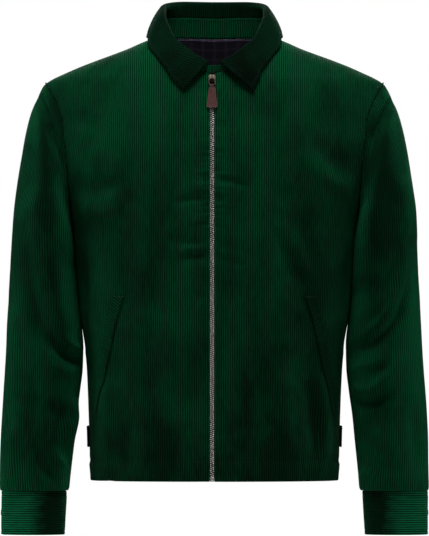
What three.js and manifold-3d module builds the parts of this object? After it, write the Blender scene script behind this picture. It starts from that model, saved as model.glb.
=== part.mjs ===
import * as THREE from 'three'
import { mergeVertices } from 'three/addons/utils/BufferGeometryUtils.js'
import Module from 'manifold-3d'

// A zipped corduroy jacket, filled out as if worn, with nobody in it. Millimetres, Z up.
// The front faces -Y. Left and right in the names are the wearer's, so right is -X.
// The origin is between the shoulders, level with the back neck seam.

const wasm = await Module()
wasm.setup()

const clothThickness = 2.0
const standThickness = 2.2
const fallThickness = 2.6
const fallLift = 4.4
const cuffThickness = 2.4
const liningThickness = 1.0
const seamGap = 0.3
const sleeveSquareness = 2.25
const hemZ = -637
const underarmZ = -275
const shoulderTipZ = -61.5
const frontNeckZ = -49
const backNeckZ = 4
const neckPointZ = 6
const armholeDepth = { front: 64, back: 68 }
const zipX = -3.5
const zipOpening = 7.2
const chainWidth = 5.8
const tapeWidth = 12
const sideRows = 9
const armRows = 12
const shoulderRows = 5
const frontColumns = 9

// height, half width, depth in front, depth behind, squareness of the section
const torsoTable = [
  [-637, 179, 131, 126, 2.4],
  [-609, 180.5, 132, 126, 2.4],
  [-557, 182, 133, 125, 2.4],
  [-478, 185, 134, 123, 2.4],
  [-450, 187.6, 135, 122, 2.4],
  [-406, 195.5, 136, 121, 2.4],
  [-333, 203.5, 136, 121, 2.4],
  [-275, 207.5, 135, 122, 2.38],
  [-240, 218, 133, 122, 2.3],
  [-200, 235, 130, 122, 2.15],
  [-162, 249, 126, 120, 2.02],
  [-140, 255, 122, 117, 1.96],
  [-105, 256, 113, 110, 1.9],
  [-85, 254, 106, 104, 1.9],
  [-70, 249.5, 99.5, 99, 1.93],
  [-61.5, 243.5, 96, 95, 1.95],
  [-55, 233, 93, 92.5, 2],
  [-46.4, 214.5, 88.5, 89, 2],
  [-37.7, 194.5, 84, 84.5, 2.05],
  [-29, 172, 79, 79, 2.1],
  [-20.3, 148, 73.5, 73, 2.15],
  [-11.6, 125, 68, 67, 2.2],
  [-2.9, 105.5, 62, 60.5, 2.2],
  [6, 83, 54, 54, 2.2],
]

// start angle and height, end angle and height, width, depth (a trough is negative)
const frontFolds = {
  left: [
    [34, -452, 50, -600, 26, -3.5],
    [60, -560, 54, -637, 24, 3],
    [18, -240, 50, -175, 24, -2.5],
  ],
  right: [
    [56, -540, 50, -637, 26, -3.5],
    [40, -470, 47, -600, 26, 2.5],
    [22, -250, 52, -180, 24, -2.5],
  ],
}
const backFolds = [
  [128, -120, 141, -420, 30, -4],
  [100, -420, 138, -520, 26, -3],
]
// where the sleeve rests against the body's side
const sideHollow = [90, -262, 90, -452, 26, -5]

// ring, outer x, outer z, inner x, inner z, depth in front, depth behind, middle y
const sleeveTable = [
  [0, 243.5, -61.5, 207.5, -275, 64, 68, 0],
  [1, 247.5, -65.5, 207.4, -273.2, 66, 69, 0],
  [2, 252, -73, 207.2, -275, 68, 71, 0],
  [3, 258.5, -86, 206.6, -279.5, 71, 73, 0],
  [4, 266, -104, 205.8, -285, 75, 76, 0],
  [5, 273, -129, 204.8, -292, 78, 79, 0],
  [6, 279.5, -160, 204, -301, 80, 81, 0],
  [7, 285.5, -197, 202.8, -314, 80, 81, 0],
  [8, 289.8, -236, 201.1, -331, 78, 80, 0],
  [9, 293, -280, 198.6, -353, 75, 78, -1],
  [10, 295.6, -327, 195.8, -380, 71, 75, -2],
  [11, 298, -376, 193, -410, 67, 70, -3],
  [12, 301, -424, 190.2, -442, 63, 66, -4],
  [13, 303.4, -470, 190.8, -474, 60, 62, -6],
  [14, 305.4, -507, 194.5, -507, 57, 59, -8],
  [15, 307.4, -542, 199.5, -542, 54, 55, -10],
  [16, 309.3, -578, 203, -578, 50, 51, -12],
  [17, 310.2, -615, 207, -615, 46, 47, -14],
  [18, 310.8, -651.7, 210.8, -651.7, 43, 43, -15],
]

// start angle and ring, end angle and ring, width, depth
const sleeveFolds = {
  left: [
    [12, 3.2, 84, 1.6, 9, -3.5],
    [30, 9.6, 140, 12, 17, -3.5],
    [60, 13.2, 175, 12.6, 14, -3],
    [70, 15, 170, 16, 16, -2.5],
    [200, 12, 320, 10, 18, -3.5],
  ],
  right: [
    [12, 3.2, 84, 1.6, 9, -3.5],
    [70, 11.4, 170, 13, 16, -4],
    [40, 14.2, 165, 15.2, 15, -3],
    [80, 16.4, 170, 16.9, 14, -2.5],
    [205, 11.5, 325, 10.5, 18, -3.5],
  ],
}

// share of the way from the back neck to the front, x, y, z
const rollTable = [
  [0, 0, 58, 53],
  [0.15, 36, 53, 53],
  [0.3, 62, 33, 50.5],
  [0.42, 71, 8, 45],
  [0.52, 71, -14, 35],
  [0.62, 65.5, -34, 19],
  [0.72, 57, -52, 1.5],
  [0.82, 44, -66, -11],
  [0.92, 25.5, -78, -25.5],
  [1, 9.8, -87, -35],
]
// share of the way, angle and height of the place on the body that the fall's edge lies over
const fallEdgeTable = [
  [0, 180, -6],
  [0.15, 160, -6],
  [0.3, 132, -2.5],
  [0.42, 96, 1],
  [0.52, 67, -1.6],
  [0.6, 46.7, -11.5],
  [0.68, 30.6, -24],
  [0.76, 22.4, -36.5],
  [0.84, 17.6, -49],
  [0.92, 14.3, -63.5],
  [1, 12.2, -76],
]
// share of the way, how far up to the roll the stand's seam lies
const standTable = [
  [0, 0.62],
  [0.4, 0.66],
  [1, 0.86],
]

// depth below the sleeve's end, outer x, inner x, half depth, middle y
const cuffTable = [
  [0, 310.8, 210.8, 43, -15],
  [30, 311, 212.2, 41.5, -15.5],
  [63.5, 311, 214, 40, -16],
]

const pocketTop = { z: -370, inner: 36.3, outer: 42.8 }
const pocketEnd = { z: -538, inner: 64.5, outer: 72.3 }
const tabTop = -558
const tabEnd = -589
const tabHeight = 3.4

const cord = new THREE.MeshStandardMaterial({ color: 0x06301b, roughness: 0.9, metalness: 0 })
const darkCord = new THREE.MeshStandardMaterial({ color: 0x052412, roughness: 0.92, metalness: 0 })
const liningCloth = new THREE.MeshStandardMaterial({ color: 0x121417, roughness: 0.6, metalness: 0 })
const leather = new THREE.MeshStandardMaterial({ color: 0x473332, roughness: 0.55, metalness: 0 })
const metal = new THREE.MeshStandardMaterial({ color: 0x8d8a80, roughness: 0.35, metalness: 0.9 })
const tapeCloth = new THREE.MeshStandardMaterial({ color: 0x0a1a12, roughness: 0.9, metalness: 0 })
const horn = new THREE.MeshStandardMaterial({ color: 0x0c1f15, roughness: 0.45, metalness: 0 })

const radians = (degrees) => (degrees * Math.PI) / 180
const degrees = (turn) => (turn * 180) / Math.PI
const lerp = (a, b, t) => a + (b - a) * t
const add = (a, b, k = 1) => a.map((v, i) => v + b[i] * k)
const minus = (a, b) => a.map((v, i) => v - b[i])
const dot = (a, b) => a[0] * b[0] + a[1] * b[1] + a[2] * b[2]
const unit = (a) => a.map((v) => v / Math.hypot(...a))
const mirrored = (p, side) => [p[0] * side, p[1], p[2]]

function cross(a, b) {
  return [a[1] * b[2] - a[2] * b[1], a[2] * b[0] - a[0] * b[2], a[0] * b[1] - a[1] * b[0]]
}

// A smooth curve through a table's rows that never overshoots them; the first column is the key.
function smooth(rows) {
  const rise = (i, c) => (rows[i + 1][c] - rows[i][c]) / (rows[i + 1][0] - rows[i][0])
  const slope = (i, c) => {
    if (i === 0) return rise(0, c)
    if (i === rows.length - 1) return rise(i - 1, c)
    const [before, after] = [rise(i - 1, c), rise(i, c)]
    return before * after <= 0 ? 0 : (2 * before * after) / (before + after)
  }
  return (key) => {
    let i = 0
    while (i < rows.length - 2 && key > rows[i + 1][0]) i++
    const span = rows[i + 1][0] - rows[i][0]
    const t = Math.min(Math.max((key - rows[i][0]) / span, 0), 1)
    const ease = t * t * (3 - 2 * t)
    return rows[i].slice(1).map((low, c) => {
      const high = rows[i + 1][c + 1]
      const bend = t * (1 - t) * span * ((1 - t) * slope(i, c + 1) - t * slope(i + 1, c + 1))
      return lerp(low, high, ease) + bend
    })
  }
}

const torso = smooth(torsoTable)
const sleeve = smooth(sleeveTable)
const roll = smooth(rollTable)
const fallEdge = smooth(fallEdgeTable)
const standShare = smooth(standTable)
const cuff = smooth(cuffTable)

// A fold is a soft ridge or trough along a line, fading towards both of its ends.
function foldHeight(u, v, fold, uScale, vOf) {
  const [u0, v0, u1, v1, width, depth] = fold
  const [ax, ay] = [u0 * uScale, vOf(v0)]
  const [bx, by] = [u1 * uScale - ax, vOf(v1) - ay]
  const [px, py] = [u * uScale - ax, vOf(v) - ay]
  const length = Math.hypot(bx, by)
  const along = (px * bx + py * by) / (length * length)
  const across = (px * by - py * bx) / length / width
  if (along < 0 || along > 1) return 0
  return depth * Math.exp(-2 * across * across) * Math.sin(Math.PI * along) ** 0.8
}

// A point of the body's outer face: 0 degrees is the centre front, 90 the side, 180 the back.
function bodyPoint(angle, z, side = 1) {
  const [halfWidth, front, back, squareness] = torso(z)
  const [c, s] = [Math.cos(radians(angle)), Math.abs(Math.sin(radians(angle)))]
  const x = halfWidth * s ** (2 / squareness)
  const y = -Math.sign(c) * (c > 0 ? front : back) * Math.abs(c) ** (2 / squareness)
  const folds = angle > 90 ? backFolds : frontFolds[side > 0 ? 'left' : 'right']
  const heights = [sideHollow, ...folds].map((f) => foldHeight(angle, z, f, 3, (v) => v))
  const swell = heights.reduce((sum, height) => sum + height, 0)
  const k = 1 + swell / Math.hypot(x, y)
  return [x * k, y * k, z]
}

function bodyNormal(angle, z, side = 1) {
  const around = minus(bodyPoint(angle + 0.5, z, side), bodyPoint(angle - 0.5, z, side))
  const up = minus(bodyPoint(angle, z + 0.5, side), bodyPoint(angle, z - 0.5, side))
  if (angle < 0.5) around.splice(0, 3, 1, 0, 0)
  if (angle > 179.5) around.splice(0, 3, -1, 0, 0)
  return unit(cross(around, up))
}

// The body's point, moved in from its outer face by a depth.
function bodyInside(angle, z, depth, side = 1) {
  return add(bodyPoint(angle, z, side), bodyNormal(angle, z, side), -depth)
}

// The angle at which a panel ends at a height: the side seam, the armhole or the shoulder seam.
function panelEnd(z, part) {
  if (z <= underarmZ || z >= shoulderTipZ) return 90
  const middle = (underarmZ + shoulderTipZ) / 2
  const rise = (z - middle) / (shoulderTipZ - middle)
  const y = armholeDepth[part] * Math.sqrt(Math.max(1 - rise * rise, 0))
  const depth = torso(z)[part === 'front' ? 1 : 2]
  const turn = degrees(Math.acos((y / depth) ** (torso(z)[3] / 2)))
  return part === 'front' ? turn : 180 - turn
}

// The angle of a point of the front face, from how far it lies from the centre line.
function frontAngle(x, z) {
  const [halfWidth, , , squareness] = torso(z)
  return degrees(Math.asin((Math.abs(x) / halfWidth) ** (squareness / 2)))
}

// Heights of a panel's rows at its centre line and at its outer edge, from the hem to the neck.
function rowHeights(part) {
  const neckZ = part === 'front' ? frontNeckZ : backNeckZ
  const chestZ = part === 'front' ? -150 : -105
  const middle = (underarmZ + shoulderTipZ) / 2
  const rows = []
  for (let i = 0; i <= sideRows; i++) {
    const z = lerp(hemZ, underarmZ, i / sideRows)
    rows.push([z, z])
  }
  for (let i = 1; i <= armRows; i++) {
    const z = middle - (shoulderTipZ - middle) * Math.cos((Math.PI * i) / armRows)
    rows.push([lerp(underarmZ, chestZ, i / armRows), z])
  }
  for (let i = 1; i <= shoulderRows; i++) {
    const t = i / shoulderRows
    rows.push([lerp(chestZ, neckZ, t), lerp(shoulderTipZ, neckPointZ, t)])
  }
  return rows
}

const rowCount = sideRows + armRows + shoulderRows + 1
const heights = { front: rowHeights('front'), back: rowHeights('back') }

// Columns follow the panel's outer edge closely near it and more and more smoothly away from it.
function columnEnd(z, t, part) {
  const reach = 110 * (1 - t)
  const samples = [-1, -0.5, 0, 0.5, 1].map((k) => panelEnd(z + k * reach, part))
  return samples.reduce((sum, turn) => sum + turn / samples.length, 0)
}

// Angle and height of a panel's point: t is 0 at the centre line and 1 at the outer edge.
function panelPlace(part, t, row, startX) {
  const [low, high] = heights[part][row]
  const bent = Math.min(Math.max((row - sideRows) / armRows, 0), 1)
  const neckShape = 1 - (1 - Math.sin(radians(90 * t))) ** 1.5
  const z = lerp(low, high, lerp(t * t, neckShape, bent))
  const end = columnEnd(z, t, part)
  if (part === 'back') return [lerp(180, end, t), z]
  return [lerp(frontAngle(startX, z), end, t), z]
}

// Columns are closer together at the centre line and at the side, where the body turns.
function columnShare(i, count) {
  const u = i / count
  return u - (0.3 * Math.sin(2 * Math.PI * u)) / (2 * Math.PI)
}

// A closed thin solid between two matching grids of points; a ring joins its last column to its first.
function shellBetween(outer, inner, ring = false) {
  const [rows, columns] = [outer.length, outer[0].length]
  const positions = [...outer.flat(), ...inner.flat()].flat()
  const index = []
  const quad = (a, b, c, d) => index.push(a, b, c, a, c, d)
  const at = (layer, r, c) => layer * rows * columns + r * columns + (c % columns)
  const across = ring ? columns : columns - 1
  for (let r = 0; r < rows - 1; r++) {
    for (let c = 0; c < across; c++) {
      quad(at(0, r, c), at(0, r, c + 1), at(0, r + 1, c + 1), at(0, r + 1, c))
      quad(at(1, r, c), at(1, r + 1, c), at(1, r + 1, c + 1), at(1, r, c + 1))
    }
  }
  for (let c = 0; c < across; c++) {
    quad(at(0, 0, c), at(1, 0, c), at(1, 0, c + 1), at(0, 0, c + 1))
    quad(at(0, rows - 1, c), at(0, rows - 1, c + 1), at(1, rows - 1, c + 1), at(1, rows - 1, c))
  }
  for (let r = 0; r < rows - 1 && !ring; r++) {
    quad(at(0, r, 0), at(0, r + 1, 0), at(1, r + 1, 0), at(1, r, 0))
    const c = columns - 1
    quad(at(0, r, c), at(1, r, c), at(1, r + 1, c), at(0, r + 1, c))
  }
  const geometry = new THREE.BufferGeometry()
  geometry.setAttribute('position', new THREE.Float32BufferAttribute(positions, 3))
  geometry.setIndex(index)
  return facingOut(geometry)
}

function facingOut(geometry) {
  const p = geometry.getAttribute('position')
  const index = geometry.getIndex().array
  const corner = (i) => new THREE.Vector3().fromBufferAttribute(p, index[i])
  let volume = 0
  for (let i = 0; i < index.length; i += 3) {
    volume += corner(i).dot(corner(i + 1).cross(corner(i + 2)))
  }
  if (volume < 0) {
    for (let i = 0; i < index.length; i += 3) {
      const second = index[i + 1]
      index[i + 1] = index[i + 2]
      index[i + 2] = second
    }
  }
  geometry.computeVertexNormals()
  return geometry
}

// Normals of a grid of points, each the mean of the faces around it.
function gridNormals(grid, ring = false) {
  const [rows, columns] = [grid.length, grid[0].length]
  return grid.map((line, r) =>
    line.map((point, c) => {
      const sum = [0, 0, 0]
      for (const [dr, dc] of [[0, 0], [-1, 0], [0, -1], [-1, -1]]) {
        const [r0, c0] = [r + dr, c + dc]
        if (r0 < 0 || r0 > rows - 2) continue
        if (!ring && (c0 < 0 || c0 > columns - 2)) continue
        const [ca, cb] = [(c0 + columns) % columns, (c0 + 1 + columns) % columns]
        const diagonal = minus(grid[r0 + 1][cb], grid[r0][ca])
        const other = minus(grid[r0 + 1][ca], grid[r0][cb])
        const face = unit(cross(diagonal, other))
        face.forEach((v, i) => (sum[i] += v))
      }
      return unit(sum)
    }),
  )
}

const jacket = new THREE.Group()

function addPiece(name, geometry, material, parent = jacket) {
  const mesh = new THREE.Mesh(geometry, material)
  mesh.name = name
  parent.add(mesh)
  return mesh
}

// Front panels: they stop short of the zip, of each other and of the side and shoulder seams.
function frontGrid(side, depth) {
  const startX = zipOpening / 2 + zipX * side
  const edge = Math.abs(startX)
  return heights.front.map((_, row) =>
    Array.from({ length: frontColumns + 1 }, (_, i) => {
      const t = columnShare(i, frontColumns)
      const [angle, z] = panelPlace('front', t, row, edge)
      const point = bodyInside(angle, z, depth, side)
      if (i === frontColumns) point[1] -= seamGap / 2
      return mirrored(point, side)
    }),
  )
}

function backGrid(depth) {
  const count = frontColumns
  return heights.back.map((_, row) =>
    Array.from({ length: 2 * count + 1 }, (_, i) => {
      const side = i < count ? 1 : -1
      const t = columnShare(Math.abs(i - count), count)
      const [angle, z] = panelPlace('back', t, row)
      const point = bodyInside(angle, z, depth)
      if (i === 0 || i === 2 * count) point[1] += seamGap / 2
      return mirrored(point, side)
    }),
  )
}

const frontOuter = { 1: frontGrid(1, 0), '-1': frontGrid(-1, 0) }
const frontInner = { 1: frontGrid(1, clothThickness), '-1': frontGrid(-1, clothThickness) }
const backOuter = backGrid(0)
const backInner = backGrid(clothThickness)
addPiece('front_left', shellBetween(frontOuter[1], frontInner[1]), cord)
addPiece('front_right', shellBetween(frontOuter[-1], frontInner[-1]), cord)
addPiece('back', shellBetween(backOuter, backInner), cord)

// Sleeves: the first ring follows the armhole, the next ones turn down into the hanging arm.
const ringAngles = Array.from({ length: 2 * armRows }, (_, i) => (180 * i) / armRows)

function armholePoint(turn, depth) {
  const middle = (underarmZ + shoulderTipZ) / 2
  const z = middle + (shoulderTipZ - middle) * Math.cos(radians(turn))
  const angle = panelEnd(z, (turn + 360) % 360 <= 180 ? 'front' : 'back')
  return bodyInside(angle, z, depth)
}

function ringPoint(ring, turn) {
  const [outX, outZ, inX, inZ, front, back, midY] = sleeve(ring)
  const power = 2 / lerp(2, sleeveSquareness, Math.min(ring / 5, 1))
  const [c, s] = [Math.cos(radians(turn)), Math.sin(radians(turn))]
    .map((v) => Math.sign(v) * Math.abs(v) ** power)
  return [
    lerp(inX, outX, (1 + c) / 2),
    midY - (s > 0 ? front : back) * s,
    lerp(inZ, outZ, (1 + c) / 2),
  ]
}

const ringMiddle = (ring) => {
  const [outX, outZ, inX, inZ, , , midY] = sleeve(ring)
  return [(outX + inX) / 2, midY, (outZ + inZ) / 2]
}
const sleeveLengths = [0]
for (let ring = 1; ring < sleeveTable.length; ring++) {
  const step = Math.hypot(...minus(ringMiddle(ring), ringMiddle(ring - 1)))
  sleeveLengths.push(sleeveLengths[ring - 1] + step)
}
const lengthTo = (ring) => {
  const whole = Math.min(Math.floor(ring), sleeveLengths.length - 2)
  return lerp(sleeveLengths[whole], sleeveLengths[whole + 1], ring - whole)
}

function sleevePoint(ring, turn, side) {
  const fade = Math.max(1 - ring / 4, 0) ** 2
  const stray = minus(armholePoint(turn, 0), ringPoint(0, turn))
  const base = add(ringPoint(ring, turn), stray, fade)
  const middle = ringMiddle(ring)
  const out = unit(minus(base, middle))
  const folds = sleeveFolds[side > 0 ? 'left' : 'right']
  const swell = folds.reduce((sum, f) => sum + foldHeight(turn, ring, f, 0.95, lengthTo), 0)
  return add(base, out, ring < 1 ? swell * ring : swell)
}

// The first ring keeps a gap to the armhole, along the body's own surface.
function armholeRing(depth) {
  return ringAngles.map((turn) => {
    const point = armholePoint(turn, depth)
    const tangent = minus(armholePoint(turn + 1, 0), armholePoint(turn - 1, 0))
    const normal = minus(armholePoint(turn, 0), armholePoint(turn, 1))
    const away = unit(cross(tangent, normal))
    const sign = dot(away, minus([225, 0, -168], point)) > 0 ? 1 : -1
    return add(point, away, sign * seamGap)
  })
}

function sleeveShell(side) {
  const rings = sleeveTable.map(([ring]) =>
    ring === 0 ? armholeRing(0) : ringAngles.map((turn) => sleevePoint(ring, turn, side)),
  )
  const normals = gridNormals(rings, true)
  const inward = dot(normals[10][0], [1, 0, 0]) > 0 ? -1 : 1
  const inner = rings.map((line, r) =>
    line.map((p, c) => add(p, normals[r][c], inward * clothThickness)),
  )
  inner[0] = armholeRing(clothThickness)
  const flip = (grid) => grid.map((line) => line.map((p) => mirrored(p, side)))
  return shellBetween(flip(rings), flip(inner), true)
}

addPiece('sleeve_left', sleeveShell(1), cord)
addPiece('sleeve_right', sleeveShell(-1), cord)

// Cuffs: a band that goes once around and laps over itself at the outer back.
const lapStart = -50
const lapTurn = 36
const buttonLift = 1.8

function cuffPoint(turn, drop, lift) {
  const [outX, inX, depth, midY] = cuff(drop)
  const [c, s] = [Math.cos(radians(turn)), Math.sin(radians(turn))]
  const halfWidth = (outX - inX) / 2
  const z = sleeveTable.at(-1)[2] - seamGap - drop
  return [(outX + inX) / 2 + (halfWidth + lift) * c, midY - (depth + lift) * s, z]
}

function cuffShell(side) {
  const turns = Array.from({ length: 28 }, (_, i) => lapStart + (i * (360 + lapTurn)) / 27)
  const layer = (depth) =>
    cuffTable.map(([drop]) =>
      turns.map((turn) => {
        const ease = Math.min(Math.max((turn - lapStart - 300) / 60, 0), 1)
        const sunk = (cuffThickness + 0.5) * (1 - ease * ease * (3 - 2 * ease))
        return mirrored(cuffPoint(turn, drop, -sunk - depth), side)
      }),
    )
  return shellBetween(layer(0), layer(cuffThickness))
}

function disc(radius, thickness, place, facing) {
  const geometry = new THREE.CylinderGeometry(radius, radius, thickness, 18)
  const turn = new THREE.Quaternion().setFromUnitVectors(
    new THREE.Vector3(0, 1, 0),
    new THREE.Vector3(...unit(facing)),
  )
  geometry.applyQuaternion(turn)
  geometry.translate(...place)
  return geometry
}

for (const [name, side] of [['left', 1], ['right', -1]]) {
  addPiece(`cuff_${name}`, cuffShell(side), cord)
  const turn = lapStart + 360 + lapTurn - 18
  const seat = cuffPoint(turn, 32, 0)
  const ahead = minus(cuffPoint(turn + 1, 32, 0), cuffPoint(turn - 1, 32, 0))
  const facing = unit(cross(ahead, [0, 0, 1]))
  const sign = Math.sign(dot(facing, minus(seat, cuffPoint(turn, 32, -5))))
  const outward = facing.map((v) => v * sign)
  const place = add(seat, outward, buttonLift)
  addPiece(`cuff_button_${name}`, disc(7.5, 2.6, mirrored(place, side), mirrored(outward, side)), horn)
}

// Collar: the stand rises from the neck seam, the fall rolls over it and lies on the shoulders.
function neckLine() {
  const top = rowCount - 1
  const line = []
  const take = (outer, inner, c, side) => {
    const up = unit(minus(outer[top][c], outer[top - 1][c]))
    line.push({ outer: outer[top][c], inner: inner[top][c], up, side })
  }
  for (let c = 0; c < frontColumns; c++) take(frontOuter[1], frontInner[1], c, 1)
  for (let c = 0; c <= 2 * frontColumns; c++) {
    take(backOuter, backInner, c, c < frontColumns ? 1 : -1)
  }
  for (let c = frontColumns - 1; c >= 0; c--) take(frontOuter[-1], frontInner[-1], c, -1)
  for (const column of line) column.middle = add(column.outer, minus(column.inner, column.outer), 0.5)
  const centre = (line.length - 1) / 2
  const reach = (from, to) => {
    let sum = 0
    for (let i = Math.min(from, to); i < Math.max(from, to); i++) {
      sum += Math.hypot(...minus(line[i + 1].middle, line[i].middle))
    }
    return sum
  }
  line.forEach((column, i) => {
    column.share = reach(centre, i) / reach(centre, column.side > 0 ? 0 : line.length - 1)
  })
  return line
}

const neck = neckLine()

for (const column of neck) {
  const { share, side, middle } = column
  const rollAt = mirrored(roll(share), side)
  column.roll = rollAt
  column.seam = add(middle, minus(rollAt, middle), standShare(share)[0])
}

const tangentAt = (points, i) => {
  return unit(minus(points[Math.min(i + 1, points.length - 1)], points[Math.max(i - 1, 0)]))
}

// The stand's ends run on to the zip, past the last column of the neck line.
function standLayers() {
  const ends = [1, -1].map((side) => {
    const column = side > 0 ? neck[0] : neck.at(-1)
    const x = zipX + side * 0.35
    const shift = (p) => [x, p[1], p[2]]
    const seam = [zipX + side * 0.5, column.seam[1] - 1, frontNeckZ + 12]
    return { ...column, outer: shift(column.outer), inner: shift(column.inner), seam }
  })
  const columns = [ends[0], ...neck, ends[1]]
  const seams = columns.map((column) => column.seam)
  const layer = (face) => {
    const bottom = columns.map((column) => add(column[face], column.up, seamGap))
    const top = columns.map((column, i) => {
      const middle = add(column.outer, minus(column.inner, column.outer), 0.5)
      const out = unit(cross(minus(column.seam, middle), tangentAt(seams, i)))
      const outward = dot(out, [column.seam[0], column.seam[1], 0]) > 0 ? 1 : -1
      return add(column.seam, out, ((face === 'outer' ? 1 : -1) * outward * standThickness) / 2)
    })
    const half = bottom.map((p, i) => add(p, minus(top[i], p), 0.5))
    return [bottom, half, top]
  }
  return [layer('outer'), layer('inner')]
}

const [standOuter, standInner] = standLayers()
addPiece('collar_stand', shellBetween(standOuter, standInner), darkCord)

function fallColumn(column, i) {
  const { share, side, roll: fold } = column
  const edge = mirrored(bodyInside(...fallEdge(share), -fallLift, side), side)
  edge[0] += 5.4 * Math.max(share - 0.84, 0) / 0.16
  const out = unit([fold[0] * 1.05, fold[1], 0])
  const flat = 1 - 0.35 * Math.max(share - 0.5, 0) * 2
  const [outer, inner] = [standOuter[2][i + 1], standInner[2][i + 1]]
  const seam = add(add(outer, minus(inner, outer), 0.5), [0, 0, 1], seamGap)
  const crest = add(add(fold, out, 5 * flat), [0, 0, 4 * flat])
  const over = add(fold, out, 9 * flat)
  const bend = add(add(over, minus(edge, over), 0.45), out, 6.5)
  const drop = [0.25, 0.5, 0.75, 1].map((t) =>
    over.map((v, k) => (1 - t) ** 2 * v + 2 * t * (1 - t) * bend[k] + t * t * edge[k]),
  )
  return [seam, fold, crest, over, ...drop]
}

function fallShell() {
  const columns = neck.map(fallColumn)
  const middle = columns[0].map((_, r) => columns.map((column) => column[r]))
  const normals = gridNormals(middle)
  const layer = (k) => middle.map((line, r) => {
    return line.map((p, c) => add(p, normals[r][c], k * fallThickness))
  })
  const layers = [layer(0.5), layer(-0.5)]
  const near = Math.hypot(...minus(layers[0][0][20], standOuter[2][21]))
  const far = Math.hypot(...minus(layers[1][0][20], standOuter[2][21]))
  const [first, second] = near < far ? layers : [layers[1], layers[0]]
  first[0] = standOuter[2].slice(1, -1).map((p) => add(p, [0, 0, seamGap]))
  second[0] = standInner[2].slice(1, -1).map((p) => add(p, [0, 0, seamGap]))
  return shellBetween(first, second)
}

addPiece('collar_fall', fallShell(), darkCord)

// Slanted pocket welts lie on the fronts.
function patchOnBody(corners, rows, columns, low, high, side) {
  const layer = (lift) =>
    Array.from({ length: rows + 1 }, (_, r) =>
      Array.from({ length: columns + 1 }, (_, c) => {
        const { z, inner, outer } = corners(r / rows)
        return mirrored(bodyInside(lerp(inner, outer, c / columns), z, -lift, side), side)
      }),
    )
  return shellBetween(layer(high), layer(low))
}

const pocketCorners = (t) => ({
  z: lerp(pocketTop.z, pocketEnd.z, t),
  inner: lerp(pocketTop.inner, pocketEnd.inner, t),
  outer: lerp(pocketTop.outer, pocketEnd.outer, t),
})

// Waist tabs lie over the side seams and are buttoned on the back.
const tabCorners = (t) => ({ z: lerp(tabTop, tabEnd, t), inner: 87, outer: 122 - 8 * Math.abs(t - 0.5) })

for (const [name, side] of [['left', 1], ['right', -1]]) {
  addPiece(`pocket_welt_${name}`, patchOnBody(pocketCorners, 9, 2, 0.9, 3, side), cord)
  addPiece(`waist_tab_${name}`, patchOnBody(tabCorners, 2, 7, 0.8, tabHeight, side), darkCord)
  const z = (tabTop + tabEnd) / 2
  const normal = bodyNormal(115, z)
  const place = add(bodyPoint(115, z), normal, tabHeight + buttonLift)
  addPiece(`tab_button_${name}`, disc(7, 2.6, mirrored(place, side), mirrored(normal, side)), horn)
}

// The lining shows inside the neck, on the upper back.
const liningRows = 14

function liningShell() {
  const layer = (depth) => {
    const rows = backGrid(clothThickness + depth).slice(-liningRows - 1)
    return rows.map((line) => line.slice(3, -3).map((p) => [p[0], p[1], p[2] - 1]))
  }
  return shellBetween(layer(1), layer(1 + liningThickness))
}

addPiece('lining_back', liningShell(), liningCloth)

// The zip: strips that follow the centre front.
function frontFace(x, z, depth) {
  const [halfWidth, front, , squareness] = torso(z)
  const y = -front * (1 - (Math.abs(x) / halfWidth) ** squareness) ** (1 / squareness)
  const slope = (torso(z + 1)[1] - torso(z - 1)[1]) / 2
  const normal = unit([0, -1, -slope])
  return add([x, y, z], normal, -depth)
}

function zipStrip(x0, x1, near, far, z0, z1, rows) {
  const layer = (depth) =>
    Array.from({ length: rows + 1 }, (_, r) => {
      const z = lerp(z0, z1, r / rows)
      return [x0, x1].map((x) => frontFace(x, z, depth))
    })
  return shellBetween(layer(near), layer(far))
}

const chainTop = -63.5
const chainEnd = -630
const chainHalf = chainWidth / 2
const chain = zipStrip(zipX - chainHalf, zipX + chainHalf, 0.2, 2.3, chainTop, chainEnd, 20)
const box = zipStrip(zipX - 3.3, zipX + 3.3, -0.6, 2.3, chainEnd - 0.4, hemZ + 0.3, 1)
addPiece('zip_chain', chain, metal)
addPiece('zip_box', box, metal)
for (const [name, side] of [['left', 1], ['right', -1]]) {
  const [near, far] = [zipX + 0.15 * side, zipX + tapeWidth * side]
  addPiece(`zip_tape_${name}`, zipStrip(near, far, 2.8, 3.5, -50, hemZ + 1, 20), tapeCloth)
}

// Everything on the slider is laid out flat, with Z up the zip, then leaned with the cloth.
function solid(geometry) {
  const plain = geometry.index ? geometry.toNonIndexed() : geometry
  plain.deleteAttribute('normal')
  plain.deleteAttribute('uv')
  const merged = mergeVertices(plain, 1e-4)
  return new wasm.Manifold(
    new wasm.Mesh({
      numProp: 3,
      vertProperties: new Float32Array(merged.getAttribute('position').array),
      triVerts: new Uint32Array(merged.getIndex().array),
    }),
  )
}

function fromSolid(body) {
  const mesh = body.getMesh()
  const geometry = new THREE.BufferGeometry()
  geometry.setAttribute('position', new THREE.Float32BufferAttribute(mesh.vertProperties, 3))
  geometry.setIndex(Array.from(mesh.triVerts))
  geometry.computeVertexNormals()
  return geometry
}

function block(width, depth, height, x, y, z) {
  return new THREE.BoxGeometry(width, depth, height).translate(x, y, z)
}

function plate(outline, thickness) {
  const shape = new THREE.Shape(outline.map(([x, z]) => new THREE.Vector2(x, z)))
  const geometry = new THREE.ExtrudeGeometry(shape, { depth: thickness, bevelEnabled: false })
  return geometry.rotateX(Math.PI / 2).translate(0, thickness / 2, 0)
}

function rod(radius, length, y, z) {
  return new THREE.CylinderGeometry(radius, radius, length, 14).rotateZ(Math.PI / 2).translate(0, y, z)
}

const sliderZ = -56.5
const pivotLift = 4.9
const slideLean = Math.atan((torso(-70)[1] - torso(-50)[1]) / 20)
const sliderSeat = frontFace(zipX, sliderZ, 0)

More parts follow.
